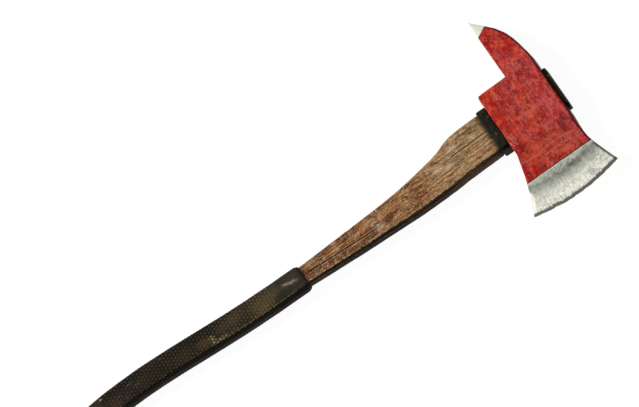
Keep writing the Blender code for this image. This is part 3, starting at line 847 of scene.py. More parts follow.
# ============================================================ grip
def grip_mesh():
    def section(x, draw_in=0.0):
        y, w, t = hermite(GRIP, x)
        broad = max(0.0, (w - 35.2) / 14.4)
        return [x, y, w - 2 * draw_in, t - 2 * draw_in, 3.5 + 3.5 * broad, 8.0 + 2.0 * broad, float(lean_of(GRIP, np.array(x))), 1.5]

    counts = (42, 18, 10, 5)
    top_y = float(hermite(GRIP, -322.0)[0])
    top_lean = float(lean_of(GRIP, np.array(-322.0)))
    rows = []
    # Inside of the rubber, from the butt end up to the mouth.
    for x in (-716.6, -712.0, -697.0, -678.0, -654.0, -622.0, -575.0, -523.0, -471.0, -419.0, -367.0, -345.0, -326.0):
        y, w, t = hermite(GRIP, x)
        rows.append([x, y, w - 2 * GRIP_WALL + 2 * GAP, t - 2 * GRIP_WALL + 0.6 + 2 * GAP, 4.1, 6.6, float(lean_of(GRIP, np.array(x))), 1.3])
    y, w, t = hermite(GRIP, -316.0)
    mouth = [y, w - 2 * GRIP_WALL + 2 * GAP + 1.0, t - 2 * GRIP_WALL + 0.6 + 2 * GAP + 1.6, 4.1, 6.6, top_lean, 1.3]
    rows.append([-317.2, *mouth])
    rows.append([-316.2, *mouth])
    inner = len(rows)
    # Over the lip and down its chamfer.
    for x, w, t in ((-316.0, 30.1, 26.2), (-316.05, 30.7, 26.6), (-316.35, 31.4, 27.1), (-317.4, 32.3, 27.6), (-318.6, 33.2, 28.05),
                    (-319.8, 34.1, 28.5), (-320.8, 34.8, 28.8), (-321.6, 35.1, 28.95)):
        s = (w - 30.1) / 5.0
        rows.append([x, top_y, w, t, 3.2 + 0.3 * s, 7.0 + 1.0 * s, top_lean, 1.5])
    dots_from, dots_to = -624.5, -359.0
    xs = [*np.arange(-323.0, dots_to, -1.9 * COARSE), *np.arange(dots_to, dots_from, -0.76 * COARSE), *np.arange(dots_from, -715.0, -1.9 * COARSE), -715.6]
    for x in xs:
        rows.append(section(x))
    for x, draw_in in ((-716.6, 0.25), (-717.5, 0.65), (-718.4, 1.35), (-719.1, 2.2), (-719.6, 3.2), (-719.9, 4.3), (-720.0, 5.6)):
        rows.append(section(x, draw_in))
    rings = eight_sided(rows, *counts)
    # Close the butt with a few smaller rings, a shallow dish in the middle.
    last = rings[-1]
    centre = last.mean(0)
    extra = []
    for share, dip in ((0.93, 0.0), (0.85, 0.0), (0.80, 0.45), (0.76, 0.55), (0.55, 0.55), (0.34, 0.55), (0.14, 0.55)):
        ring = centre + (last - centre) * share
        ring[:, 0] += dip
        extra.append(ring)
    rings = np.concatenate([rings, np.array(extra)])
    obj = lofted("grip_sleeve_rubber", rings, 0)

    # Raised dots in a staggered pattern, on the ring's own arc length.
    n_rows, n_cols, _ = rings.shape
    gaps = np.sqrt(((np.roll(rings, -1, 1) - rings)**2).sum(-1))
    arc = np.concatenate([np.zeros((n_rows, 1)), np.cumsum(gaps, 1)[:, :-1]], 1)
    girth = gaps.sum(1, keepdims=True)
    pitch_x, around = 4.45, 23
    lean = np.array([r[6] for r in rows] + [0.0] * len(extra))[:, None]
    along = rings[..., 0] / np.cos(lean)
    along = rings[:, :1, 0] * 0 + (np.array([r[0] for r in rows] + [BUTT_X] * len(extra)))[:, None]
    v = arc / girth * around
    bump = np.zeros((n_rows, n_cols))
    k0 = np.round((along + 400) / pitch_x)
    wob = RNG.normal(0, 0.10, (400, 60, 2))
    for dk in (-1, 0, 1):
        k = k0 + dk
        shift = np.where(np.mod(k, 2) == 0, 0.0, 0.5)
        j = np.round(v - shift)
        ki, ji = np.clip(k.astype(int) + 120, 0, 399), np.mod(j.astype(int), around)
        du = along - (k * pitch_x - 400) - wob[ki, ji, 0]
        dv = (v - shift - j) * girth / around - wob[ki, ji, 1]
        d = np.hypot(du, dv * 0.98)
        one = 1 - smoothstep(0.95, 2.05, d)
        bump = np.maximum(bump, one)
    zone = smoothstep(dots_from + 1.0, dots_from + 4.0, along) * (1 - smoothstep(dots_to - 3.5, dots_to - 1.0, along))
    zone[:inner] = 0
    bump *= zone
    # Rubbed flat where hands and floors have worn it.
    co = rings.reshape(-1, 3)
    rub = smoothstep(0.15, 0.6, fbm(co / [26, 11, 11], 2, 61)).reshape(bump.shape)
    # Lower on the two narrow sides, where palms rub most.
    spans = hermite(GRIP, co[:, 0])
    side = np.abs(co[:, 1] - spans[:, 0]) / (spans[:, 1] / 2)
    height = 0.50 * bump * (1 - 0.45 * rub) * (1 - 0.55 * smoothstep(0.90, 0.98, side.reshape(bump.shape)))
    outer = np.zeros((n_rows, n_cols))
    outer[inner:] = 1
    slow = 0.12 * fbm(co / [24, 9, 9], 2, 63).reshape(bump.shape) + 0.03 * fbm(co / 2.2, 2, 65).reshape(bump.shape)
    scars = np.zeros(len(co))
    rng = np.random.default_rng(12)
    for _ in range(46):
        at = co[rng.integers(inner * n_cols, len(co) - 2000)]
        reach, stretch = rng.uniform(0.6, 1.6), rng.uniform(1.5, 6.0)
        near = np.where((abs(co - at) < [reach * stretch * 2.2, reach * 2.4, reach * 2.4]).all(1))[0]
        d = (((co[near] - at) / [reach * stretch, reach, reach])**2).sum(1)
        scars[near] = np.maximum(scars[near], rng.uniform(0.1, 0.38) * np.exp(-d * 1.4))
    amount = (height + slow * outer).ravel() - scars * outer.ravel()
    full = np.concatenate([amount, [0, 0]])
    push(obj, full)
    store(obj, "dot", np.concatenate([(bump).ravel(), [0, 0]]))
    store(obj, "scar", np.concatenate([(scars * outer.ravel() / 0.3), [0, 0]]))
    co = coords(obj)
    size = hermite(GRIP, co[:, 0])
    y0, w, t = size.T
    broad = np.clip((w - 35.2) / 14.4, 0, None)
    a, b = co[:, 1] - y0, co[:, 2]
    lean_v = lean_of(GRIP, co[:, 0])
    lower = np.hypot(a / np.cos(lean_v) + (w / 2 - 3.5 - 3.5 * broad), b - t / 2)
    upper = np.hypot(a / np.cos(lean_v) - (w / 2 - 3.5 - 3.5 * broad), b - t / 2)
    store(obj, "lower_ridge", np.minimum(lower, 20))
    store(obj, "upper_ridge", np.minimum(upper, 20))
    store(obj, "across", a / np.cos(lean_v))
    shade(obj, 45)
    return obj


grip = grip_mesh()


# ============================================================ collar and cap
def radius_at(outline, angles):
    """Distance from the middle to a closed outline, at each angle."""
    outline = np.asarray(outline, float)
    fine = []
    for a, b in zip(outline, np.roll(outline, -1, 0)):
        fine.append(a + (b - a) * np.linspace(0, 1, 40, endpoint=False)[:, None])
    fine = np.concatenate(fine)
    ang = np.mod(np.arctan2(fine[:, 1], fine[:, 0]), math.tau)
    order = np.argsort(ang)
    ang, r = ang[order], np.hypot(*fine.T)[order]
    return np.interp(angles, np.r_[ang[-1] - math.tau, ang, ang[0] + math.tau], np.r_[r[-1], r, r[0]])


def oblong(width, thick, corner):
    points = []
    for k, (sx, sy) in enumerate(((1, 1), (-1, 1), (-1, -1), (1, -1))):
        for i in range(13):
            angle = math.pi / 2 * (k + i / 12)
            points.append((sx * (width / 2 - corner) + corner * math.cos(angle), sy * (thick / 2 - corner) + corner * math.sin(angle)))
    return points


def octagon(width, thick, cut_y, cut_z, ease):
    ring = eight_sided([[0, 0, width, thick, cut_y, cut_z, 0, ease]], 2, 2, 2, 4)[0]
    return ring[:, 1:]


def even_angles(width, thick, count):
    """Angles that space the points evenly round an oblong."""
    ring = np.array(oblong(width, thick, min(width, thick) * 0.2))
    fine = np.concatenate([a + (b - a) * np.linspace(0, 1, 60, endpoint=False)[:, None] for a, b in zip(ring, np.roll(ring, -1, 0))])
    step = np.hypot(*(np.roll(fine, -1, 0) - fine).T)
    arc = np.r_[0, np.cumsum(step)[:-1]]
    pick = np.interp(np.linspace(0, step.sum(), count, endpoint=False), arc, np.arange(len(fine)))
    at = fine[np.round(pick).astype(int) % len(fine)]
    return np.sort(np.mod(np.arctan2(at[:, 1], at[:, 0]), math.tau))


def ring_of(x, r, angles):
    return np.stack([np.full(len(angles), x), eye_middle(x) + r * np.cos(angles), r * np.sin(angles)], 1)


def collar_mesh():
    x0, width, thick = -14.0, 64.4, 36.0
    n = int(300 / COARSE)
    angles = even_angles(width, thick, n)
    bore = radius_at(octagon(60.0, 29.4, 4.3, 7.8, 1.3), angles)
    rings = []

    def outer(x, inset):
        return ring_of(x, radius_at(oblong(width - 2 * inset, thick - 2 * inset, max(7.0 - inset * 0.5, 1.0)), angles), angles)

    for x in np.linspace(-0.55, x0 + 0.4, 8):
        rings.append(ring_of(x, bore, angles))
    rings.append(ring_of(x0 + 0.08, bore + 0.15, angles))
    first = radius_at(oblong(width - 5.6, thick - 5.6, 5.6), angles)
    rings.append(ring_of(x0, np.maximum(bore + 0.35, bore * 0.5 + first * 0.5), angles))
    # Rounded lower end: quarter of an ellipse, 2.6 deep and 2.4 in.
    for a in np.linspace(0, math.pi / 2, 9):
        inset = 2.7 * (1 - math.sin(a))**1.15
        rings.append(outer(x0 + 2.8 * (1 - math.cos(a)), inset))
    for x in np.arange(x0 + 3.4, -1.5, 0.62 * COARSE):
        rings.append(outer(x, 0.0))
    for x, inset in ((-1.15, 0.02), (-0.8, 0.12), (-0.5, 0.35), (-0.36, 0.7)):
        rings.append(outer(x, inset))
    far = radius_at(oblong(width - 3.0, thick - 3.0, 6.0), angles)
    rings.append(ring_of(-0.35, far * 0.6 + bore * 0.4, angles))
    rings.append(ring_of(-0.36, bore + 0.12, angles))
    rings = np.array(rings)
    rows, cols, _ = rings.shape
    # A closed tube: the last ring joins the first.
    faces = loft_faces(rows, cols)
    c = np.arange(cols)
    nxt = (c + 1) % cols
    join = np.stack([(rows - 1) * cols + c, (rows - 1) * cols + nxt, nxt, c], 1)
    obj = mesh_object("eye_collar_rubber", rings.reshape(-1, 3), np.concatenate([faces, join]), 0)
    co = coords(obj)
    amount = 0.10 * fbm(co / 8, 2, 71) + 0.04 * fbm(co / 1.8, 2, 73)
    ring_r = np.hypot((co[:, 1] - eye_middle(co[:, 0])) / 32.2, co[:, 2] / 18.0)
    amount *= smoothstep(0.9, 1.0, ring_r)
    groove = np.exp(-((co[:, 0] + 2.6) / 0.42)**2)
    amount -= 0.22 * groove * smoothstep(0.9, 1.0, ring_r)
    rng = np.random.default_rng(5)
    outer_ids = np.where(ring_r > 0.97)[0]
    for _ in range(26):
        at = co[rng.choice(outer_ids)]
        reach = rng.uniform(0.5, 1.4)
        d = (((co - at) / [reach, reach * rng.uniform(1, 3), reach])**2).sum(1)
        amount -= rng.uniform(0.06, 0.25) * np.exp(-d)
    push(obj, np.minimum(amount, 0.12))
    shade(obj, 40)
    return obj


def cap_mesh():
    x0, x1, width, thick = 88.0 + GAP, 93.1, 63.6, 28.0
    n = int(260 / COARSE)
    angles = even_angles(width, thick, n)
    spigot = radius_at(octagon(57.4, 20.4, 8.0, 6.0, 2.5), angles)

    def outer(x, inset):
        return ring_of(x, radius_at(oblong(width - 2 * inset, thick - 2 * inset, max(9.0 - inset * 0.5, 1.0)), angles), angles)

    rings = [ring_of(TONGUE_END + GAP, spigot * s, angles) for s in (0.25, 0.6, 0.96)]
    rings += [ring_of(TONGUE_END + GAP + 0.15, spigot, angles), ring_of(x0 - 0.02, spigot, angles)]
    rings += [ring_of(x0, spigot * 1.02, angles), outer(x0, 0.9), outer(x0, 0.35), outer(x0 + 0.12, 0.1), outer(x0 + 0.4, 0.0)]
    for x in np.linspace(x0 + 0.8, x1 - 1.7, 6):
        rings.append(outer(x, 0.0))
    for a in np.linspace(0.15, math.pi / 2, 8):
        rings.append(outer(x1 - 1.6 * (1 - math.sin(a)), 1.5 * (1 - math.cos(a))))
    for inset in (2.2, 2.9, 3.3, 3.8, 4.6, 6.0, 7.5, 9.0, 10.5, 12.0):
        dish = 0.28 * float(smoothstep(2.9, 3.8, inset))
        rings.append(outer(x1 - dish, inset))
    rings = np.array(rings)
    obj = lofted("top_cap_rubber", rings, 0)
    co = coords(obj)
    amount = (0.07 * fbm(co / 7, 2, 81) + 0.035 * fbm(co / 1.6, 2, 83)) * (co[:, 0] > 88.6)
    rng = np.random.default_rng(9)
    ids = np.where(co[:, 0] > 90)[0]
    for _ in range(30):
        at = co[rng.choice(ids)]
        reach = rng.uniform(0.5, 1.6)
        d = (((co - at) / [reach, reach * rng.uniform(1, 3), reach])**2).sum(1)
        amount -= rng.uniform(0.05, 0.22) * np.exp(-d)
    push(obj, np.minimum(amount, 0.06))
    shade(obj, 40)
    return obj


collar = collar_mesh()
cap = cap_mesh()


# ============================================================ materials
class Surface(Nodes):
    """A material that works in the axe's own millimetres."""

    def __init__(self, name):
        super().__init__(name)
        place = self.new("ShaderNodeTexCoord").outputs["Object"]
        self.p = self.scaled(place, 1000.0, tuple(-ORG))
        self.x, self.y, self.z = self.xyz(self.p)
        facing = self.new("ShaderNodeNewGeometry").outputs["Normal"]
        self.nx, self.ny, self.nz = self.xyz(facing)
        self.base = None

    def stretched(self, sx, sy, sz, offset=(0, 0, 0)):
        return self.scaled(self.p, (sx, sy, sz), offset)

    def tint(self, fac, colour, mode="MIX"):
        self.base = self.mix(fac, self.base, colour, mode)

    def brighten(self, octaves):
        """Multiply the colour so far by two to the power of octaves."""
        node = self.new("ShaderNodeVectorMath", operation="SCALE")
        self.put(node.inputs[0], self.base)
        self.put(node.inputs["Scale"], self.m("POWER", 2.0, octaves))
        self.base = node.outputs[0]

    def swing(self, *terms):
        """Sum of noises about their middle, each with its weight."""
        total = None
        for noise, weight in terms:
            part = self.mul(self.sub(noise, 0.5), weight)
            total = part if total is None else self.add(total, part)
        return total

    def line(self, points, low, high, lo_out, hi_out):
        """y as a smooth function of x, through the given points."""
        node = self.new("ShaderNodeFloatCurve")
        curve = node.mapping.curves[0]
        norm = [((px - low) / (high - low), (py - lo_out) / (hi_out - lo_out)) for px, py in points]
        curve.points[0].location = norm[0]
        curve.points[1].location = norm[-1]
        for q in norm[1:-1]:
            curve.points.new(*q)
        node.mapping.update()
        self.put(node.inputs["Value"], self.rng(self.x, low, high, 0.0, 1.0, "LINEAR"))
        return self.add(self.mul(node.outputs[0], hi_out - lo_out), lo_out)

    def end(self, rough, metal=None, normal=None):
        self.put(self.bsdf.inputs["Base Color"], self.base)
        self.put(self.bsdf.inputs["Roughness"], rough)
        if metal is not None:
            self.put(self.bsdf.inputs["Metallic"], metal)
        if normal is not None:
            self.put(self.bsdf.inputs["Normal"], normal)


def head_finish():
    s = Surface("red_paint_and_steel")
    x, y, z = s.x, s.y, s.z
    big = s.noise(s.stretched(0.045, 0.040, 0.05), 1.0, 2, 0.5)
    mid = s.noise(s.stretched(0.13, 0.10, 0.13, (3, 7, 1)), 1.0, 3, 0.55)
    blot = s.noise(s.stretched(0.26, 0.21, 0.26, (11, 3, 6)), 1.0, 3, 0.6)
    fine = s.noise(s.stretched(0.50, 0.40, 0.50, (9, 2, 4)), 1.0, 3, 0.65)
    grit = s.noise(s.stretched(1.15, 0.9, 1.15), 1.0, 2, 0.6)
    streak = s.noise(s.stretched(0.42, 0.022, 0.42, (5, 0, 0)), 1.0, 3, 0.65)
    hair = s.noise(s.stretched(1.5, 0.06, 1.5, (1, 3, 0)), 1.0, 2, 0.6)

    warp = s.add(s.mul(s.sub(big, 0.5), 16.0), s.mul(s.sub(fine, 0.5), 9.0))
    xw = s.add(x, warp)
    cheek = s.rng(y, 62, 34)

    # Paint: orange-red by the handle, sun-faded over the cheek, crimson towards the top.
    s.base = s.mix(s.rng(xw, 15, 25), srgb(184, 36, 12), srgb(184, 56, 40))
    s.tint(s.rng(xw, 54, 68), srgb(180, 54, 56))
    on_pick = s.mul(s.rng(s.add(y, warp), 40, 62), s.rng(xw, 30, 50))
    s.tint(s.mul(on_pick, 0.90), srgb(172, 24, 14))
    s.tint(s.mul(s.rng(mid, 0.52, 0.62), 0.70), srgb(198, 68, 26))
    s.tint(s.mul(s.rng(mid, 0.48, 0.38), 0.80), srgb(158, 14, 12))
    s.tint(s.mul(s.rng(blot, 0.54, 0.66), s.rng(xw, 14, 40, 0.25, 0.60)), srgb(198, 82, 80))
    s.tint(s.mul(s.rng(blot, 0.46, 0.36), 0.60), srgb(150, 12, 12))
    wob = s.swing((mid, 2.0), (blot, 3.0), (fine, 1.2))
    for cx, cy, rx, ry, colour, amount in (
        (18, 34, 12, 8, (210, 62, 18), 0.80), (6, 8, 8, 18, (192, 32, 8), 0.55),
        (9, -47.6, 8, 15, (146, 8, 5), 0.80), (5, -85.6, 14, 8, (140, 5, 4), 0.85),
        (79, -59.4, 7, 14, (164, 36, 50), 0.60), (77, -16, 10, 13, (200, 82, 92), 0.65),
        (51.9, 33.2, 9, 8, (158, 26, 30), 0.65), (40, -80, 20, 4, (204, 84, 48), 0.5), (70, -78, 12, 5, (204, 92, 82), 0.55), (26, -34, 12, 9, (190, 62, 60), 0.5), (60, 70, 12, 7, (164, 22, 14), 0.6), (57, 84, 9, 6, (176, 30, 18), 0.6), (50.9, 71.8, 5.0, 7, (196, 80, 84), 0.50),
        (49.7, 93.5, 8, 10, (158, 12, 14), 0.75), (73.1, 76.7, 6, 8, (194, 22, 12), 0.70),
        (60, 104, 9, 8, (196, 60, 50), 0.5), (47, 42, 6, 14, (180, 18, 8), 0.75),
        (64, 52, 10, 14, (196, 84, 88), 0.6), (30, -60, 26, 8, (212, 88, 44), 0.55),
        (58, -87, 18, 7, (206, 90, 52), 0.6), (40, -50, 11, 6, (196, 42, 22), 0.6),
        (36, -90, 10, 6, (166, 40, 50), 0.6), (70, 22, 7, 8, (164, 22, 30), 0.70),
        (80, 36, 6, 7, (190, 66, 80), 0.6), (56, 14, 7, 6, (166, 30, 30), 0.55), (26, 24, 8, 9, (172, 40, 38), 0.5),
        (33, -22, 7, 16, (168, 42, 46), 0.5), (48, -10, 12, 18, (208, 92, 52), 0.50),
        (66, -30, 7, 16, (188, 70, 82), 0.55), (20, -74, 8, 8, (210, 66, 28), 0.55), (62, 96, 8, 10, (176, 28, 22), 0.6),
        (74, 60, 7, 9, (206, 74, 54), 0.5), (12, -14, 6, 14, (208, 56, 22), 0.4), (34, 4, 8, 26, (196, 80, 78), 0.5),
    ):
        s.tint(s.mul(s.spot(x, y, cx, cy, rx, ry, wob), amount), srgb(*colour))
    s.tint(s.mul(s.mul(s.rng(streak, 0.55, 0.68), cheek), 0.38), srgb(206, 100, 88))
    broad = s.noise(s.stretched(0.13, 0.013, 0.13, (8, 1, 0)), 1.0, 2, 0.6)
    s.tint(s.mul(s.mul(s.rng(broad, 0.52, 0.62), cheek), 0.42), srgb(196, 84, 80))
    s.tint(s.mul(s.mul(s.rng(broad, 0.47, 0.38), cheek), 0.40), srgb(160, 24, 22))
    faded = s.noise(s.stretched(0.10, 0.085, 0.10, (4, 9, 2)), 1.0, 3, 0.62)
    s.tint(s.mul(s.mul(s.rng(faded, 0.53, 0.60), s.rng(xw, 10, 34, 0.0, 0.52)), s.rng(y, 74, 46, 0.30, 1.0)), srgb(198, 90, 86))
    s.tint(s.mul(s.rng(faded, 0.46, 0.39), 0.45), srgb(156, 16, 18))
    wear = s.add(s.swing((big, 1.4), (mid, 2.4), (blot, 2.8), (fine, 2.4), (grit, 1.8)), s.mul(s.swing((streak, 1.8), (hair, 0.5)), cheek))
    s.brighten(s.m("MAXIMUM", s.m("MINIMUM", wear, 0.30), -0.30))
    s.tint(s.mul(s.rng(wear, -0.12, -0.60), 0.70), srgb(142, 8, 14))
    s.tint(s.mul(s.rng(fine, 0.57, 0.68), s.rng(xw, 14, 40, 0.18, 0.40)), srgb(206, 108, 94))
    s.tint(s.mul(s.rng(grit, 0.60, 0.74), s.rng(xw, 14, 40, 0.20, 0.42)), srgb(222, 136, 120))
    s.tint(s.mul(s.spot(x, y, 56, 57.5, 1.9, 2.4, s.mul(wob, 0.2)), 0.80), srgb(240, 44, 12))
    s.tint(s.mul(s.spot(x, y, 1.6, 14, 2.2, 3.0, s.mul(wob, 0.3)), 0.85), srgb(244, 50, 14))

    # Two long broken scrapes across the cheek, from blows that went past the bit.
    shake = s.add(s.mul(s.sub(s.noise(s.stretched(0.30, 0.0, 0.35), 1.0, 2), 0.5), 4.6), s.mul(s.sub(fine, 0.5), 3.4))
    broken = s.rng(s.noise(s.stretched(0.40, 0.8, 0.42, (2, 2, 2)), 1.0, 3, 0.7), 0.40, 0.58)
    one = s.line([(-8, -66), (2, -66.6), (13, -68.0), (24, -69.2), (31, -67.0), (42, -66.2), (55, -66.6), (66, -68.6), (78, -70), (95, -69.6)], -8, 95, -80, -60)
    d1 = s.absolute(s.sub(s.sub(y, one), shake))
    d2 = s.absolute(s.sub(s.add(y, 74.4), shake))
    line1 = s.mul(s.rng(d1, 2.3, 0.3), s.rng(x, 92, 60, 0.25, 1.0))
    line2 = s.mul(s.rng(d2, 2.2, 0.3), s.mul(s.rng(x, 18, 27), s.rng(x, 70, 58)))
    front = s.rng(z, 1.0, 4.0)
    scrape = s.mul(s.mul(s.m("MAXIMUM", line1, line2), front), s.add(s.mul(broken, 0.92), 0.02))
    between = s.mul(s.mul(s.rng(y, -79, -74), s.rng(y, -62, -66)), s.mul(s.rng(x, 16, 26), s.rng(x, 70, 58)))
    s.tint(s.mul(s.mul(s.mul(between, front), s.rng(blot, 0.44, 0.56)), 0.45), srgb(204, 66, 34))
    s.tint(s.mul(scrape, 0.62), srgb(218, 132, 112))
    # Thin seeded scratches on both cheeks.
    scratch = None
    for k, (angle, pitch) in enumerate(((0.25, 0.42), (1.45, 0.34), (-0.75, 0.38))):
        ca, sa = math.cos(angle), math.sin(angle)
        join = s.new("ShaderNodeCombineXYZ")
        s.put(join.inputs[0], s.mul(s.add(s.mul(x, ca), s.mul(y, sa)), 0.045))
        s.put(join.inputs[1], s.mul(s.add(s.mul(x, -sa), s.mul(y, ca)), pitch))
        s.put(join.inputs[2], s.add(s.mul(z, 0.5), k * 7.0))
        n = s.noise(join.outputs[0], 1.0, 2, 0.5, 0.25)
        thin = s.mul(s.rng(s.absolute(s.sub(n, 0.5)), 0.014, 0.003), s.rng(s.noise(s.stretched(0.10, 0.10, 0.10, (k * 3.1, 0, 0)), 1.0, 1), 0.50, 0.60))
        scratch = thin if scratch is None else s.m("MAXIMUM", scratch, thin)
    scratch = s.mul(scratch, s.rng(s.absolute(s.nz), 0.80, 0.95))
    s.tint(s.mul(scratch, 0.50), srgb(226, 134, 114))
    # A cluster of short scuffs low on the cheek by the handle.
    scuff_zone = s.mul(s.spot(x, y, 5.8, -36, 5.5, 10.5), front)
    turned_in = s.new("ShaderNodeCombineXYZ")
    s.put(turned_in.inputs[0], s.mul(s.add(s.mul(x, 0.9), s.mul(y, 0.35)), 0.50))
    s.put(turned_in.inputs[1], s.mul(s.add(s.mul(y, 0.9), s.mul(x, -0.5)), 0.16))
    scuffs = s.rng(s.absolute(s.sub(s.noise(turned_in.outputs[0], 1.0, 2, 0.5, 0.8), 0.5)), 0.050, 0.012)
    s.tint(s.mul(s.mul(scuffs, scuff_zone), 0.90), srgb(232, 172, 156))
    # Edges: rubbed pale in places, chipped to dark primer in others.
    rim = s.attr("rim")
    near = s.rng(rim, 1.9, 0.3)
    s.tint(s.mul(s.mul(near, s.rng(fine, 0.50, 0.60)), 0.50), srgb(220, 100, 74))
    chip = s.mul(s.rng(s.add(rim, s.mul(s.sub(fine, 0.5), 9.0)), 0.5, 0.1), s.rng(mid, 0.48, 0.56))
    s.tint(s.mul(chip, 0.70), srgb(84, 24, 18))
    # Painted shade on the faces that point to the top and to the bit, in a dark strip along the edges on the top side,
    # and on the side walls.
    far = s.rng(s.add(x, s.mul(s.m("MAXIMUM", s.sub(y, 62), 0.0), 0.32)), 68, 72)
    s.tint(s.mul(s.mul(s.rng(s.add(rim, s.mul(s.sub(fine, 0.5), 2.0)), 3.0, 1.7), far), 0.90), srgb(60, 4, 6))
    s.tint(s.mul(s.mul(s.rng(rim, 5.0, 1.5), far), 0.35), srgb(120, 12, 22))
    turn = s.add(s.mul(s.nx, 0.8), s.mul(s.ny, -0.75))
    s.tint(s.mul(s.rng(turn, 0.22, 0.70), 0.90), srgb(50, 4, 4))
    side = s.rng(s.absolute(s.nz), 0.75, 0.35)
    s.tint(s.mul(side, 0.35), srgb(120, 14, 10))
    paint = s.base

    # Steel of the bit and the pick's tip.
    out = s.attr("from_edge")
    brush = s.noise(s.stretched(1.3, 0.05, 1.3, (0, 4, 0)), 1.0, 3, 0.65)
    brush2 = s.noise(s.stretched(0.5, 0.025, 0.5, (7, 1, 0)), 1.0, 2, 0.6)
    cloud = s.noise(s.stretched(0.09, 0.13, 0.2, (1, 1, 5)), 1.0, 3, 0.6)
    t = s.add(out, s.add(s.mul(s.sub(cloud, 0.5), 16.0), s.mul(s.sub(brush, 0.5), 16.0)))
    s.base = s.mix(s.rng(t, 33.0, 14.0), srgb(176, 179, 165), srgb(238, 238, 225))
    s.tint(s.mul(s.rng(t, 39, 43), 0.8), srgb(190, 195, 182))
    # Painted shade: a darker band across the steel where the grind's slope changes.
    band = s.mul(s.rng(s.absolute(s.sub(t, 36.0)), 6.5, 1.0), s.rng(x, -10, 50, 0.50, 1.0))
    s.tint(s.mul(band, 0.75), srgb(124, 128, 122))
    for cx, cy, rx, ry, colour, amount in (
        (65.4, -124.9, 5.0, 7, (170, 175, 168), 0.45), (52, -103, 11, 4.5, (118, 124, 126), 0.6),
        (-1.5, -111.5, 1.8, 1.5, (214, 186, 122), 0.8), (30.7, -103.9, 2.2, 1.5, (166, 140, 96), 0.7),
        (9.2, -129.1, 2.4, 2.0, (206, 186, 140), 0.6), (24, -127, 2.0, 1.6, (214, 192, 150), 0.5), (78, -128, 2.0, 1.4, (214, 196, 160), 0.5),
        (80, -112, 9, 8, (172, 172, 162), 0.5), (6, -118, 12, 8, (238, 238, 226), 0.5), (30, -121, 14, 7, (238, 238, 226), 0.5),
    ):
        s.tint(s.mul(s.spot(x, y, cx, cy, rx, ry, wob), amount), srgb(*colour))
    s.brighten(s.m("MINIMUM", s.add(s.swing((brush2, 1.1), (cloud, 1.7), (blot, 1.7), (fine, 1.7), (grit, 1.3)), s.mul(s.swing((brush, 1.9)), s.rng(out, 22, 32, 0.28, 1.0))), 0.34))
    # Ragged bright line where the grinding of the edge began.
    ground = s.rng(s.absolute(s.sub(s.add(out, s.add(s.mul(s.sub(blot, 0.5), 9.0), s.mul(s.sub(fine, 0.5), 5.0))), 20.5)), 1.1, 0.2)
    s.tint(s.mul(ground, s.mul(s.rng(x, 6, 26), 0.60)), srgb(252, 252, 244))
    heel, toe = s.attr("heel"), s.attr("toe")
    s.tint(s.mul(heel, 0.80), srgb(214, 213, 200))
    # The toe-side ground facet is painted dark as shade.
    s.tint(s.mul(toe, 0.80), srgb(92, 95, 84))
    # The land along the cutting edge is painted dark as shade, with a few paler streaks in it.
    edge_noise = s.add(s.mul(s.sub(fine, 0.5), 2.2), s.mul(s.sub(brush2, 0.5), 3.5))
    land_shade = s.mul(s.rng(s.add(out, edge_noise), EDGE_LAND + 0.5, EDGE_LAND - 1.4), s.rng(y, -100, -110))
    s.tint(s.mul(land_shade, 0.90), srgb(84, 84, 76))
    s.tint(s.mul(s.mul(land_shade, s.rng(brush, 0.52, 0.62)), 0.35), srgb(150, 149, 136))
    s.tint(s.mul(s.mul(s.rng(out, 1.0, 0.3), s.rng(y, -100, -110)), 0.45), srgb(160, 160, 150))
    # Tip of the pick.
    tip_zone = s.rng(y, 90, 95)
    s.tint(s.mul(tip_zone, 0.85), srgb(250, 248, 232))
    # One facet of the tip is painted greyer as shade.
    facet = s.sub(s.add(s.mul(s.sub(x, 43.7), 0.80), s.mul(s.sub(136.4, y), -0.28)), s.mul(s.sub(fine, 0.5), 1.6))
    s.tint(s.mul(s.mul(tip_zone, s.rng(facet, -0.4, 0.6)), 0.35), srgb(206, 212, 202))
    # Painted shade on steel faces turned to the top and the bit.
    s.tint(s.mul(s.rng(turn, 0.35, 0.9), 0.80), srgb(52, 54, 48))
    steel = s.base

    # Where the paint stops.
    shaky = s.add(s.mul(s.sub(fine, 0.5), 0.8), s.mul(s.sub(grit, 0.5), 0.5))
    at_bit = s.sub(s.sub(-91.69, s.mul(x, 0.0167)), s.add(y, shaky))
    at_tip = s.add(s.add(s.mul(s.sub(x, 44.4), -0.4918), s.mul(s.sub(y, 108.9), 0.8706)), shaky)
    bare = s.m("MAXIMUM", s.rng(at_bit, -0.2, 0.2), s.rng(at_tip, -0.2, 0.2))
    nick = s.mul(s.rng(s.add(rim, s.mul(s.sub(mid, 0.5), 6.0)), 0.25, 0.0), s.rng(grit, 0.54, 0.60))
    bare = s.m("MAXIMUM", bare, s.mul(nick, 0.7))
    s.base = s.mix(bare, paint, steel)
    s.tint(s.mul(s.rng(s.absolute(s.add(at_bit, 0.35)), 0.95, 0.35), 0.80), srgb(40, 10, 10))
    s.tint(s.mul(s.rng(s.absolute(s.sub(at_bit, 1.2)), 1.0, 0.25), s.rng(blot, 0.40, 0.60, 0.25, 0.60)), srgb(228, 234, 220))
    s.tint(s.mul(s.rng(s.absolute(at_tip), 0.6, 0.1), 0.35), srgb(90, 40, 34))

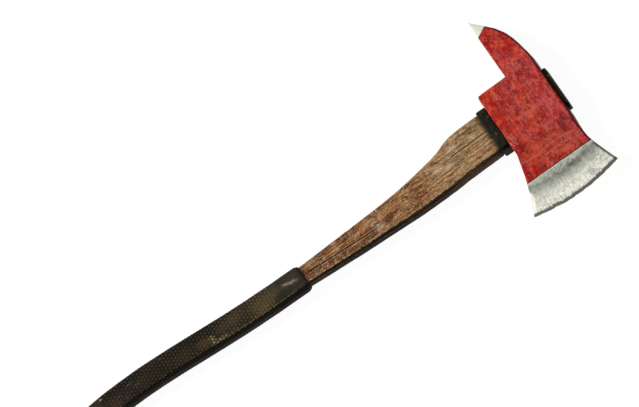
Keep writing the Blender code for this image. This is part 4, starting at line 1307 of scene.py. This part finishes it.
    rough_paint = s.add(0.50, s.add(s.mul(s.sub(mid, 0.5), 0.40), s.mul(s.sub(fine, 0.5), 0.35)))
    rough_steel = s.add(0.44, s.mul(s.sub(brush, 0.5), 0.5))
    rough = s.mixf(bare, rough_paint, rough_steel)
    metal = s.mul(bare, 0.08)
    relief = s.add(s.mul(fine, 0.45), s.mul(grit, 0.30))
    relief = s.add(relief, s.mul(s.mul(hair, 0.25), cheek))
    relief = s.sub(relief, s.mul(scratch, 0.5))
    relief = s.sub(relief, s.mul(scrape, 0.5))
    relief_steel = s.add(s.mul(brush, 0.35), s.mul(grit, 0.30))
    relief = s.add(s.mixf(bare, relief, relief_steel), s.mul(bare, -0.35))
    normal = s.bump(relief, 0.45, 0.9)
    s.end(rough, metal, normal)
    s.bsdf.inputs["Specular IOR Level"].default_value = 0.11
    return s


def wood_finish():
    s = Surface("weathered_hickory")
    x, y, z = s.x, s.y, s.z
    lifted = s.new("ShaderNodeVectorMath", operation="SCALE")
    s.put(lifted.inputs[0], s.noise(s.stretched(0.012, 0.06, 0.06, (3, 0, 0)), 1.0, 2, 0.5, out="Color"))
    lifted.inputs["Scale"].default_value = 1.8
    grain = s.noise(s.vadd(s.stretched(0.013, 0.34, 0.34), lifted.outputs[0]), 1.0, 3, 0.65)
    fibre = s.noise(s.stretched(0.022, 0.42, 0.42, (0, 3, 5)), 1.0, 3, 0.62)
    thread = s.noise(s.stretched(0.06, 1.1, 1.1, (7, 0, 0)), 1.0, 2, 0.6)
    big = s.noise(s.stretched(0.020, 0.06, 0.06, (2, 5, 0)), 1.0, 2, 0.5)
    mid = s.noise(s.stretched(0.075, 0.15, 0.15, (0, 1, 3)), 1.0, 3, 0.6)
    blot = s.noise(s.stretched(0.13, 0.26, 0.26, (6, 1, 3)), 1.0, 3, 0.6)
    fine = s.noise(s.stretched(0.42, 0.55, 0.55, (4, 1, 0)), 1.0, 3, 0.65)
    grit = s.noise(s.stretched(0.95, 1.1, 1.1), 1.0, 2, 0.6)

    xw = s.add(x, s.add(s.mul(s.sub(big, 0.5), 70.0), s.mul(s.sub(mid, 0.5), 40.0)))
    grey = s.rng(xw, -130, -84)
    red = s.rng(xw, -165, -225)
    s.base = s.mix(grey, srgb(138, 94, 56), srgb(146, 116, 82))
    s.tint(s.mul(red, 0.95), srgb(98, 54, 28))
    s.tint(s.mul(s.rng(mid, 0.50, 0.62), s.rng(x, -100, -130, 0.35, 0.85)), srgb(104, 52, 26))
    s.tint(s.mul(s.rng(mid, 0.47, 0.37), 0.60), srgb(170, 132, 86))
    s.tint(s.mul(s.rng(big, 0.47, 0.36), 0.40), srgb(160, 118, 74))
    wob = s.add(s.mul(s.sub(mid, 0.5), 2.2), s.add(s.mul(s.sub(blot, 0.5), 2.6), s.mul(s.sub(fine, 0.5), 1.8)))
    for cx, cy, rx, ry, colour, amount in (
        (-86, -22.4, 12, 3.6, (150, 84, 42), 0.55), (-37.8, -24.3, 14, 3.0, (152, 88, 48), 0.6), (-44.1, -11.7, 8, 3.2, (182, 118, 80), 0.5),
        (-67.3, 5.8, 10, 5.0, (198, 178, 146), 0.60), (-94.9, -7.9, 9, 4.8, (202, 182, 148), 0.60), (-83.3, -12.5, 10, 4.2, (196, 174, 140), 0.55),
        (-75.1, 6.1, 5, 3, (112, 74, 44), 0.45), (-94.8, 3.1, 4.4, 2.8, (62, 42, 28), 0.65), (-141.8, -0.1, 7, 2.6, (54, 34, 22), 0.75),
        (-30, 12, 15, 5, (122, 98, 70), 0.5), (-50, -18, 22, 4.5, (150, 126, 92), 0.4), (-30, -1, 12, 5, (178, 154, 118), 0.4),
        (-125, -22, 22, 4.5, (118, 62, 34), 0.5), (-118, -6, 14, 5, (112, 70, 42), 0.5), (-160, -24, 16, 4, (104, 52, 28), 0.6),
        (-140, -12, 16, 5, (96, 58, 34), 0.6), (-176, -8, 18, 5, (168, 122, 84), 0.45), (-206, -12, 9, 4.5, (186, 158, 132), 0.45), (-198, -23, 7, 4.5, (204, 186, 164), 0.70),
        (-240, -26, 26, 3.5, (82, 34, 20), 0.65), (-222, -14, 20, 4, (140, 82, 48), 0.5), (-262, -10, 14, 4, (164, 112, 72), 0.45),
        (-290, -18, 14, 5, (118, 70, 38), 0.4), (-302, -8, 10, 4, (160, 118, 76), 0.45), (-250, -17, 16, 4, (92, 44, 22), 0.6), (-226, -20, 12, 3.5, (90, 42, 22), 0.6), (-178, -20, 12, 4, (88, 46, 26), 0.6), (-136, -21, 12, 4, (96, 52, 30), 0.55), (-276, -22, 10, 4, (112, 62, 38), 0.5),
        (-108, -20, 12, 4, (186, 146, 100), 0.5), (-152, -20, 9, 4, (180, 142, 100), 0.5), (-170, -26, 9, 3, (176, 140, 100), 0.5),
    ):
        s.tint(s.mul(s.spot(x, y, cx, cy, rx, ry, wob), amount), srgb(*colour))
    s.brighten(s.add(s.swing((grain, 2.8), (fibre, 3.6), (thread, 2.2), (mid, 2.2), (blot, 3.6), (fine, 3.2), (grit, 2.4)), s.rng(x, -150, -200, -0.06, -0.24)))
    s.tint(s.mul(s.rng(fibre, 0.57, 0.68), 0.36), srgb(192, 158, 114))
    # Pale scratches, most of them across the grain.
    marks = None
    for cx, reach, amount in ((-151, 15, 0.8), (-197, 12, 1.0), (-228, 11, 0.6), (-266, 10, 0.9), (-284, 8, 0.7), (-299, 10, 0.9), (-110, 20, 0.7), (-70, 18, 0.55), (-30, 14, 0.3)):
        zone = s.mul(s.rng(s.absolute(s.sub(x, cx)), reach, reach * 0.35), amount)
        marks = zone if marks is None else s.m("MAXIMUM", marks, zone)
    cross = s.noise(s.stretched(0.36, 0.055, 0.055, (0, 0, 8)), 1.0, 2, 0.6, 0.5)
    crossing = s.mul(s.mul(s.rng(s.absolute(s.sub(cross, 0.5)), 0.024, 0.006), s.rng(blot, 0.44, 0.56)), marks)
    s.tint(s.mul(crossing, 0.80), srgb(224, 198, 162))
    ticks = s.noise(s.stretched(0.55, 0.13, 0.13, (3, 0, 2)), 1.0, 2, 0.6, 0.3)
    ticked = s.mul(s.mul(s.rng(ticks, 0.60, 0.68), s.rng(x, -215, -262)), s.rng(fibre, 0.40, 0.52))
    s.tint(s.mul(ticked, 0.62), srgb(206, 172, 130))
    slant = s.new("ShaderNodeCombineXYZ")
    s.put(slant.inputs[0], s.mul(s.add(s.mul(x, 0.75), s.mul(y, 0.66)), 0.04))
    s.put(slant.inputs[1], s.mul(s.add(s.mul(x, -0.66), s.mul(y, 0.75)), 0.30))
    s.put(slant.inputs[2], s.mul(z, 0.05))
    slants = s.mul(s.rng(s.absolute(s.sub(s.noise(slant.outputs[0], 1.0, 2, 0.5, 0.3), 0.5)), 0.026, 0.006), s.rng(mid, 0.48, 0.58))
    s.tint(s.mul(slants, 0.50), srgb(214, 186, 150))
    along = s.rng(s.absolute(s.sub(s.noise(s.stretched(0.02, 0.42, 0.42, (4, 4, 9)), 1.0, 2, 0.5, 0.4), 0.5)), 0.020, 0.005)
    s.tint(s.mul(along, s.mul(s.rng(fine, 0.42, 0.54), 0.55)), srgb(208, 178, 138))
    s.tint(s.mul(s.mul(s.rng(fine, 0.54, 0.64), marks), 0.30), srgb(204, 174, 134))

    # Ridges rubbed pale; the flanks towards the bit painted near black as shade, and the faces turned towards the pick
    # tinted darker brown.
    lower = s.attr("lower_ridge")
    ridge = s.attr("ridge")
    flank_shade = s.rng(s.add(s.mul(s.ny, -1.0), s.mul(s.nz, -0.10)), 0.28, 0.60)
    s.tint(s.mul(flank_shade, s.rng(x, -130, -60, 0.96, 0.88)), srgb(9, 5, 2))
    s.tint(s.mul(s.mul(flank_shade, s.rng(fibre, 0.50, 0.62)), 0.26), srgb(96, 74, 50))
    side = s.rng(s.ny, 0.45, 0.9)
    s.tint(s.mul(side, 0.35), srgb(86, 54, 32))
    s.tint(s.mul(s.mul(s.rng(lower, 2.2, 0.6), s.rng(fine, 0.43, 0.55)), 0.75), srgb(210, 172, 122))
    s.tint(s.mul(s.mul(s.rng(ridge, 1.2, 0.2), s.rng(fine, 0.46, 0.58)), 0.45), srgb(186, 148, 106))

    # Cracks.
    deep = None
    for k, (x0, x1, y0, y1, half, depth) in enumerate(CRACKS):
        run = s.rng(x, x0, x1, y0, y1, "LINEAR")
        node = s.noise(s.stretched(0.077, 0.0, 0.0, (k * 5.0, 0, 0)), 1.0, 2, 0.5)
        away = s.absolute(s.sub(s.sub(y, run), s.mul(s.sub(node, 0.5), 1.6)))
        width = s.mul(s.rng(x, x0, x0 + 14, 0.3, 1.0), half * 1.25)
        mask = s.mul(s.rng(s.m("DIVIDE", away, width), 1.2, 0.5), s.mul(s.rng(x, x0 - 1, x0 + 5), s.rng(x, x1 + 1.0, x1 - 2.0)))
        mask = s.mul(mask, s.mul(s.rng(z, 4, 6), min(1.0, depth * 1.25)))
        deep = mask if deep is None else s.m("MAXIMUM", deep, mask)
    s.tint(s.mul(deep, 0.88), srgb(30, 20, 12))
    halo = s.rng(s.absolute(s.sub(s.sub(y, s.rng(x, -314.2, -202.2, -15.4, -23.1, "LINEAR")), 1.5)), 0.9, 0.2)
    s.tint(s.mul(s.mul(halo, s.mul(s.rng(x, -300, -285), s.rng(x, -200, -206))), s.mul(s.rng(z, 4, 6), 0.40)), srgb(196, 140, 96))
    # Dirt where the wood goes into the rubber at both ends.
    s.tint(s.mul(s.rng(x, -309, -315.5), 0.70), srgb(30, 20, 13))
    s.tint(s.mul(s.rng(x, -20.5, -15.0), 0.62), srgb(34, 26, 18))
    rough = s.add(0.62, s.mul(s.sub(mid, 0.5), 0.35))
    relief = s.add(s.mul(fibre, 0.65), s.add(s.mul(thread, 0.30), s.mul(grit, 0.25)))
    relief = s.sub(relief, s.mul(deep, 1.0))
    relief = s.sub(relief, s.mul(s.m("MAXIMUM", crossing, slants), 0.25))
    s.end(rough, None, s.bump(relief, 0.55, 0.9))
    s.bsdf.inputs["Specular IOR Level"].default_value = 0.06
    return s


def grip_finish():
    s = Surface("worn_grip_rubber")
    x, y, z = s.x, s.y, s.z
    dot = s.attr("dot")
    scar = s.attr("scar")
    lower = s.attr("lower_ridge")
    big = s.noise(s.stretched(0.020, 0.05, 0.05, (4, 2, 0)), 1.0, 3, 0.6)
    mid = s.noise(s.stretched(0.075, 0.12, 0.12, (0, 6, 3)), 1.0, 3, 0.6)
    fine = s.noise(s.stretched(0.30, 0.40, 0.40), 1.0, 3, 0.65)
    grit = s.noise(s.stretched(1.2, 1.3, 1.3), 1.0, 2, 0.6)
    zone = s.mul(s.rng(x, -626, -620), s.rng(x, -357, -362))
    s.base = s.mix(zone, srgb(46, 42, 34), srgb(33, 28, 20))
    s.tint(s.mul(s.mul(s.rng(x, -420, -372), s.rng(x, -356, -366)), 0.55), srgb(72, 60, 38))
    s.tint(s.mul(s.rng(big, 0.50, 0.66), 0.40), srgb(64, 54, 38))
    s.tint(s.mul(s.rng(big, 0.48, 0.34), 0.45), srgb(26, 24, 20))
    s.tint(s.mul(s.rng(mid, 0.54, 0.70), 0.35), srgb(70, 58, 40))
    s.tint(s.mul(s.rng(mid, 0.45, 0.31), 0.45), srgb(22, 20, 17))
    # Dots: their tops hold pale dust, the ground between them stays dark.
    top = s.rng(dot, 0.25, 0.85)
    s.tint(s.mul(s.rng(dot, 0.40, 0.02), s.mul(zone, 0.55)), srgb(24, 21, 17))
    warm = s.mix(s.rng(mid, 0.40, 0.62), srgb(64, 56, 42), srgb(92, 78, 52))
    s.tint(s.mul(top, s.rng(x, -470, -400, 0.42, 0.60)), warm)
    s.tint(s.mul(s.mul(top, s.rng(fine, 0.56, 0.70)), 0.45), srgb(122, 84, 60))
    wob = s.add(s.mul(s.sub(mid, 0.5), 2.4), s.add(s.mul(s.sub(fine, 0.5), 2.6), s.mul(s.sub(grit, 0.5), 2.0)))
    front = s.rng(z, 6, 12)
    for cx, cy, rx, ry, colour, amount in (
        (-379, -14, 18, 10, (84, 72, 44), 0.45), (-383, -23, 10, 5, (96, 70, 42), 0.35), (-362, -8, 8, 8, (70, 66, 50), 0.5),
        
        (-470, -12, 12, 7, (96, 78, 50), 0.4), (-430, -9, 24, 8, (78, 64, 42), 0.4), (-500, -10, 16, 8, (70, 58, 42), 0.35),
        (-335, -12, 12, 7, (52, 50, 42), 0.5), (-345, -21, 10, 6, (30, 29, 26), 0.6), (-404, -9, 8, 8, (42, 38, 30), 0.4),
        (-560, -4, 14, 9, (56, 44, 36), 0.4), (-590, -6, 12, 8, (40, 38, 34), 0.5), (-610, -9, 10, 7, (86, 60, 44), 0.4),
        (-622.7, 8.1, 1.8, 0.9, (170, 158, 130), 0.8),
    ):
        s.tint(s.mul(s.mul(s.spot(x, y, cx, cy, rx, ry, wob), front), amount), srgb(*colour))
    dusty = s.m("MAXIMUM", s.spot(x, y, -459, -14, 4.0, 6, wob), s.spot(x, y, -450, -21, 9, 2.4, wob))
    s.tint(s.mul(s.mul(dusty, s.rng(top, 0.0, 1.0, 0.12, 0.75)), front), srgb(168, 146, 106))
    s.brighten(s.rng(x, -410, -480, 0.20, -0.42))
    # Scuff near the mouth of the rubber.
    line = s.rng(x, -343, -326, -11.4, -15.8, "LINEAR")
    away = s.absolute(s.sub(s.sub(y, line), s.mul(s.sub(fine, 0.5), 9.0)))
    scuff = s.mul(s.mul(s.rng(away, 3.2, 0.3), s.mul(s.rng(x, -349, -341), s.rng(x, -321, -330))), front)
    scuff = s.mul(scuff, s.rng(s.noise(s.stretched(0.25, 1.5, 1.5), 1.0, 2, 0.6), 0.40, 0.62))
    s.tint(s.mul(scuff, 0.80), srgb(176, 160, 130))
    s.tint(s.mul(s.rng(scar, 0.2, 0.9), 0.45), srgb(98, 84, 62))
    s.tint(s.mul(s.rng(grit, 0.62, 0.76), 0.28), srgb(112, 98, 74))
    s.tint(s.mul(s.rng(grit, 0.40, 0.26), 0.45), srgb(10, 9, 8))
    s.tint(s.mul(s.mul(s.rng(lower, 1.6, 0.3), s.rng(fine, 0.42, 0.56)), s.rng(x, -470, -440, 0.25, 0.80)), srgb(138, 120, 84))
    # Painted shade: the flank towards the bit near black, the dot tops on it a little lighter.
    flank_shade = s.rng(s.mul(s.ny, -1.0), 0.28, 0.62)
    s.tint(s.mul(flank_shade, 0.92), srgb(7, 6, 4))
    s.tint(s.mul(s.mul(flank_shade, top), 0.50), srgb(46, 38, 25))
    s.tint(s.mul(s.rng(x, -317.8, -316.4), 0.5), srgb(20, 17, 13))
    rough = s.add(0.66, s.add(s.mul(s.sub(mid, 0.5), 0.25), s.mul(dot, -0.08)))
    relief = s.add(s.mul(fine, 0.5), s.mul(grit, 0.35))
    s.end(rough, None, s.bump(relief, 0.30, 0.7))
    s.bsdf.inputs["Specular IOR Level"].default_value = 0.06
    return s


def plain_rubber(name, dark, mid_tone, pale, seed, specks):
    s = Surface(name)
    x, y, z = s.x, s.y, s.z
    mid = s.noise(s.stretched(0.16, 0.11, 0.11, (seed, 0, 0)), 1.0, 3, 0.6)
    fine = s.noise(s.stretched(0.6, 0.5, 0.5, (0, seed, 0)), 1.0, 3, 0.65)
    grit = s.noise(s.stretched(1.9, 1.8, 1.8), 1.0, 2, 0.6)
    s.base = s.mix(s.rng(mid, 0.36, 0.64), srgb(*dark), srgb(*mid_tone))
    s.tint(s.mul(s.rng(fine, 0.56, 0.72), 0.45), srgb(*pale))
    s.tint(s.mul(s.rng(fine, 0.44, 0.30), 0.50), srgb(*[c * 0.5 for c in dark]))
    s.tint(s.mul(s.rng(grit, 0.62, 0.75), 0.35), srgb(*[min(255, c * 1.5) for c in pale]))
    wob = s.mul(s.sub(fine, 0.5), 1.4)
    for cx, cy, rx, ry, colour, amount in specks:
        s.tint(s.mul(s.spot(x, y, cx, cy, rx, ry, wob), amount), srgb(*colour))
    # Painted shade: faces turned towards the bit near black.
    turn = s.m("MAXIMUM", s.mul(s.ny, -1.0), s.mul(s.nx, 0.0))
    s.tint(s.mul(s.rng(turn, 0.20, 0.65), 0.94), srgb(4, 3, 1))
    hair = s.noise(s.stretched(0.35, 1.6, 1.6, (seed, 2, 2)), 1.0, 2, 0.5, 0.6)
    scratch = s.mul(s.rng(s.absolute(s.sub(hair, 0.5)), 0.010, 0.002), s.rng(mid, 0.50, 0.60))
    s.tint(s.mul(scratch, 0.35), srgb(110, 104, 92))
    rough = s.add(0.60, s.add(s.mul(s.sub(mid, 0.5), 0.30), s.mul(s.sub(fine, 0.5), 0.2)))
    s.end(rough, None, s.bump(s.add(s.mul(fine, 0.5), s.sub(s.mul(grit, 0.4), scratch)), 0.22, 0.7))
    s.bsdf.inputs["Specular IOR Level"].default_value = 0.06
    return s


def wedge_wood_finish():
    s = Surface("pale_wedge_wood")
    grain = s.noise(s.stretched(0.03, 0.8, 1.6), 1.0, 3, 0.6, 0.3)
    fibre = s.noise(s.stretched(0.08, 3.0, 3.0), 1.0, 2, 0.6)
    s.base = s.mix(s.rng(grain, 0.35, 0.65), srgb(150, 116, 76), srgb(196, 164, 118))
    s.tint(s.mul(s.rng(fibre, 0.46, 0.32), 0.4), srgb(112, 82, 52))
    s.end(s.add(0.62, s.mul(s.sub(grain, 0.5), 0.2)), None, s.bump(fibre, 0.2, 0.6))
    return s


def wedge_steel_finish():
    s = Surface("rough_wedge_steel")
    brush = s.noise(s.stretched(0.4, 2.6, 2.6), 1.0, 3, 0.6)
    cloud = s.noise(s.stretched(0.3, 0.3, 0.3), 1.0, 3, 0.6)
    s.base = s.mix(s.rng(brush, 0.3, 0.7), srgb(128, 130, 130), srgb(188, 190, 188))
    s.tint(s.mul(s.rng(cloud, 0.55, 0.70), 0.6), srgb(112, 74, 48))
    s.end(s.add(0.40, s.mul(cloud, 0.25)), s.rng(cloud, 0.70, 0.50, 0.5, 1.0), s.bump(brush, 0.15, 0.6))
    return s


dress(head, head_finish(), replaces=["axe_head"])
dress(handle, wood_finish(), replaces=["handle"])
dress(grip, grip_finish(), replaces=["grip_sleeve"])
dress(collar, plain_rubber("collar_rubber_black", (26, 23, 19), (44, 39, 32), (60, 54, 45), 3.0, (
    (-3.1, 10.4, 2.6, 0.8, (92, 92, 84), 0.7), (-6.1, -15.7, 0.9, 2.4, (96, 94, 86), 0.6), (-9, 16, 2.5, 4, (50, 46, 38), 0.5),
)), replaces=["eye_collar"])
dress(cap, plain_rubber("cap_rubber_black", (30, 24, 13), (52, 42, 22), (74, 62, 34), 8.0, (
    (91.7, 9.2, 1.0, 1.2, (128, 118, 84), 0.8),
)), replaces=["top_cap"])
wood = wedge_wood_finish()
metal = wedge_steel_finish()
for node, finish in (("kerf_wedge", wood), ("step_wedge_bit_side", metal), ("step_wedge_pick_side", metal)):
    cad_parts[node].data.materials.clear()
    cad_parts[node].data.materials.append(finish.mat)


# ============================================================ camera, light, floor
PHI = math.radians(2.35)


def turned(v):
    return np.array([v[0] * math.cos(PHI) + v[1] * math.sin(PHI), -v[0] * math.sin(PHI) + v[1] * math.cos(PHI), v[2]])


SCALE = 1.3                                      # mm of axe across one image dot
E1, E2 = np.array([0.99691733, 0.02554378, -0.07418453]), np.array([0.0, 0.94551858, 0.32556815])
LOOK = turned(np.array([0.0784591, -0.32456454, 0.94260386]))
RIGHT = 0.832 * turned(E1) - 0.5548 * turned(E2)
UP = 0.5548 * turned(E1) + 0.832 * turned(E2)
AIM = turned(SCALE * (-189.7 * E1 + 32.7 * E2)) - np.array([2.0, 0, 0]) + np.array([308.26, 2.93, 18.0])
AIM = AIM + (ORG - np.array([308.26, 2.93, 18.0])) + 1.9 * RIGHT + 1.35 * UP
LENS, WIDE = 1000.0, 36.0
AWAY = 639 * 1.288 * LENS / WIDE

data = bpy.data.cameras.new("camera")
data.lens, data.sensor_width = LENS, WIDE
data.clip_start, data.clip_end = 0.1, 60.0
data.dof.use_dof = False
camera = bpy.data.objects.new("camera", data)
bpy.context.scene.collection.objects.link(camera)
spot = (AIM + LOOK * AWAY) / 1000.0
camera.matrix_world = Matrix((
    (RIGHT[0], UP[0], LOOK[0], spot[0]),
    (RIGHT[1], UP[1], LOOK[1], spot[1]),
    (RIGHT[2], UP[2], LOOK[2], spot[2]),
    (0, 0, 0, 1),
))
bpy.context.scene.camera = camera


def area_light(name, direction, distance, size, power, colour=(1, 1, 1)):
    lamp = bpy.data.lights.new(name, "AREA")
    lamp.shape = "DISK"
    lamp.size = size
    lamp.energy = power
    lamp.color = colour
    obj = bpy.data.objects.new(name, lamp)
    bpy.context.scene.collection.objects.link(obj)
    d = Vector(direction).normalized()
    obj.location = d * distance
    obj.rotation_euler = d.to_track_quat("Z", "Y").to_euler()
    return obj


area_light("key", (-0.62, 0.42, 0.72), 3.0, 1.2, 94, (1.0, 0.985, 0.96))
area_light("fill", (-0.25, -0.62, 1.0), 4.0, 2.2, 15)

world = bpy.data.worlds.new("studio")
world.use_nodes = True
world.node_tree.nodes["Background"].inputs["Color"].default_value = (1.0, 1.0, 1.0, 1.0)
world.node_tree.nodes["Background"].inputs["Strength"].default_value = 0.22
bpy.context.scene.world = world

floor_mesh = bpy.data.meshes.new("floor")
bm = bmesh.new()
bmesh.ops.create_grid(bm, x_segments=1, y_segments=1, size=6.0)
bm.to_mesh(floor_mesh)
bm.free()
floor = bpy.data.objects.new("floor", floor_mesh)
floor.location.z = -0.0006
bpy.context.scene.collection.objects.link(floor)
floor_mat = bpy.data.materials.new("floor_paper")
floor_mat.use_nodes = True
shader = floor_mat.node_tree.nodes["Principled BSDF"]
shader.inputs["Base Color"].default_value = (0.10, 0.10, 0.10, 1)
shader.inputs["Roughness"].default_value = 0.9
shader.inputs["Specular IOR Level"].default_value = 0.0
shader.inputs["Emission Color"].default_value = (1.0, 1.0, 1.0, 1)
shader.inputs["Emission Strength"].default_value = 0.95
floor.data.materials.append(floor_mat)

bpy.context.scene.view_settings.view_transform = "Standard"
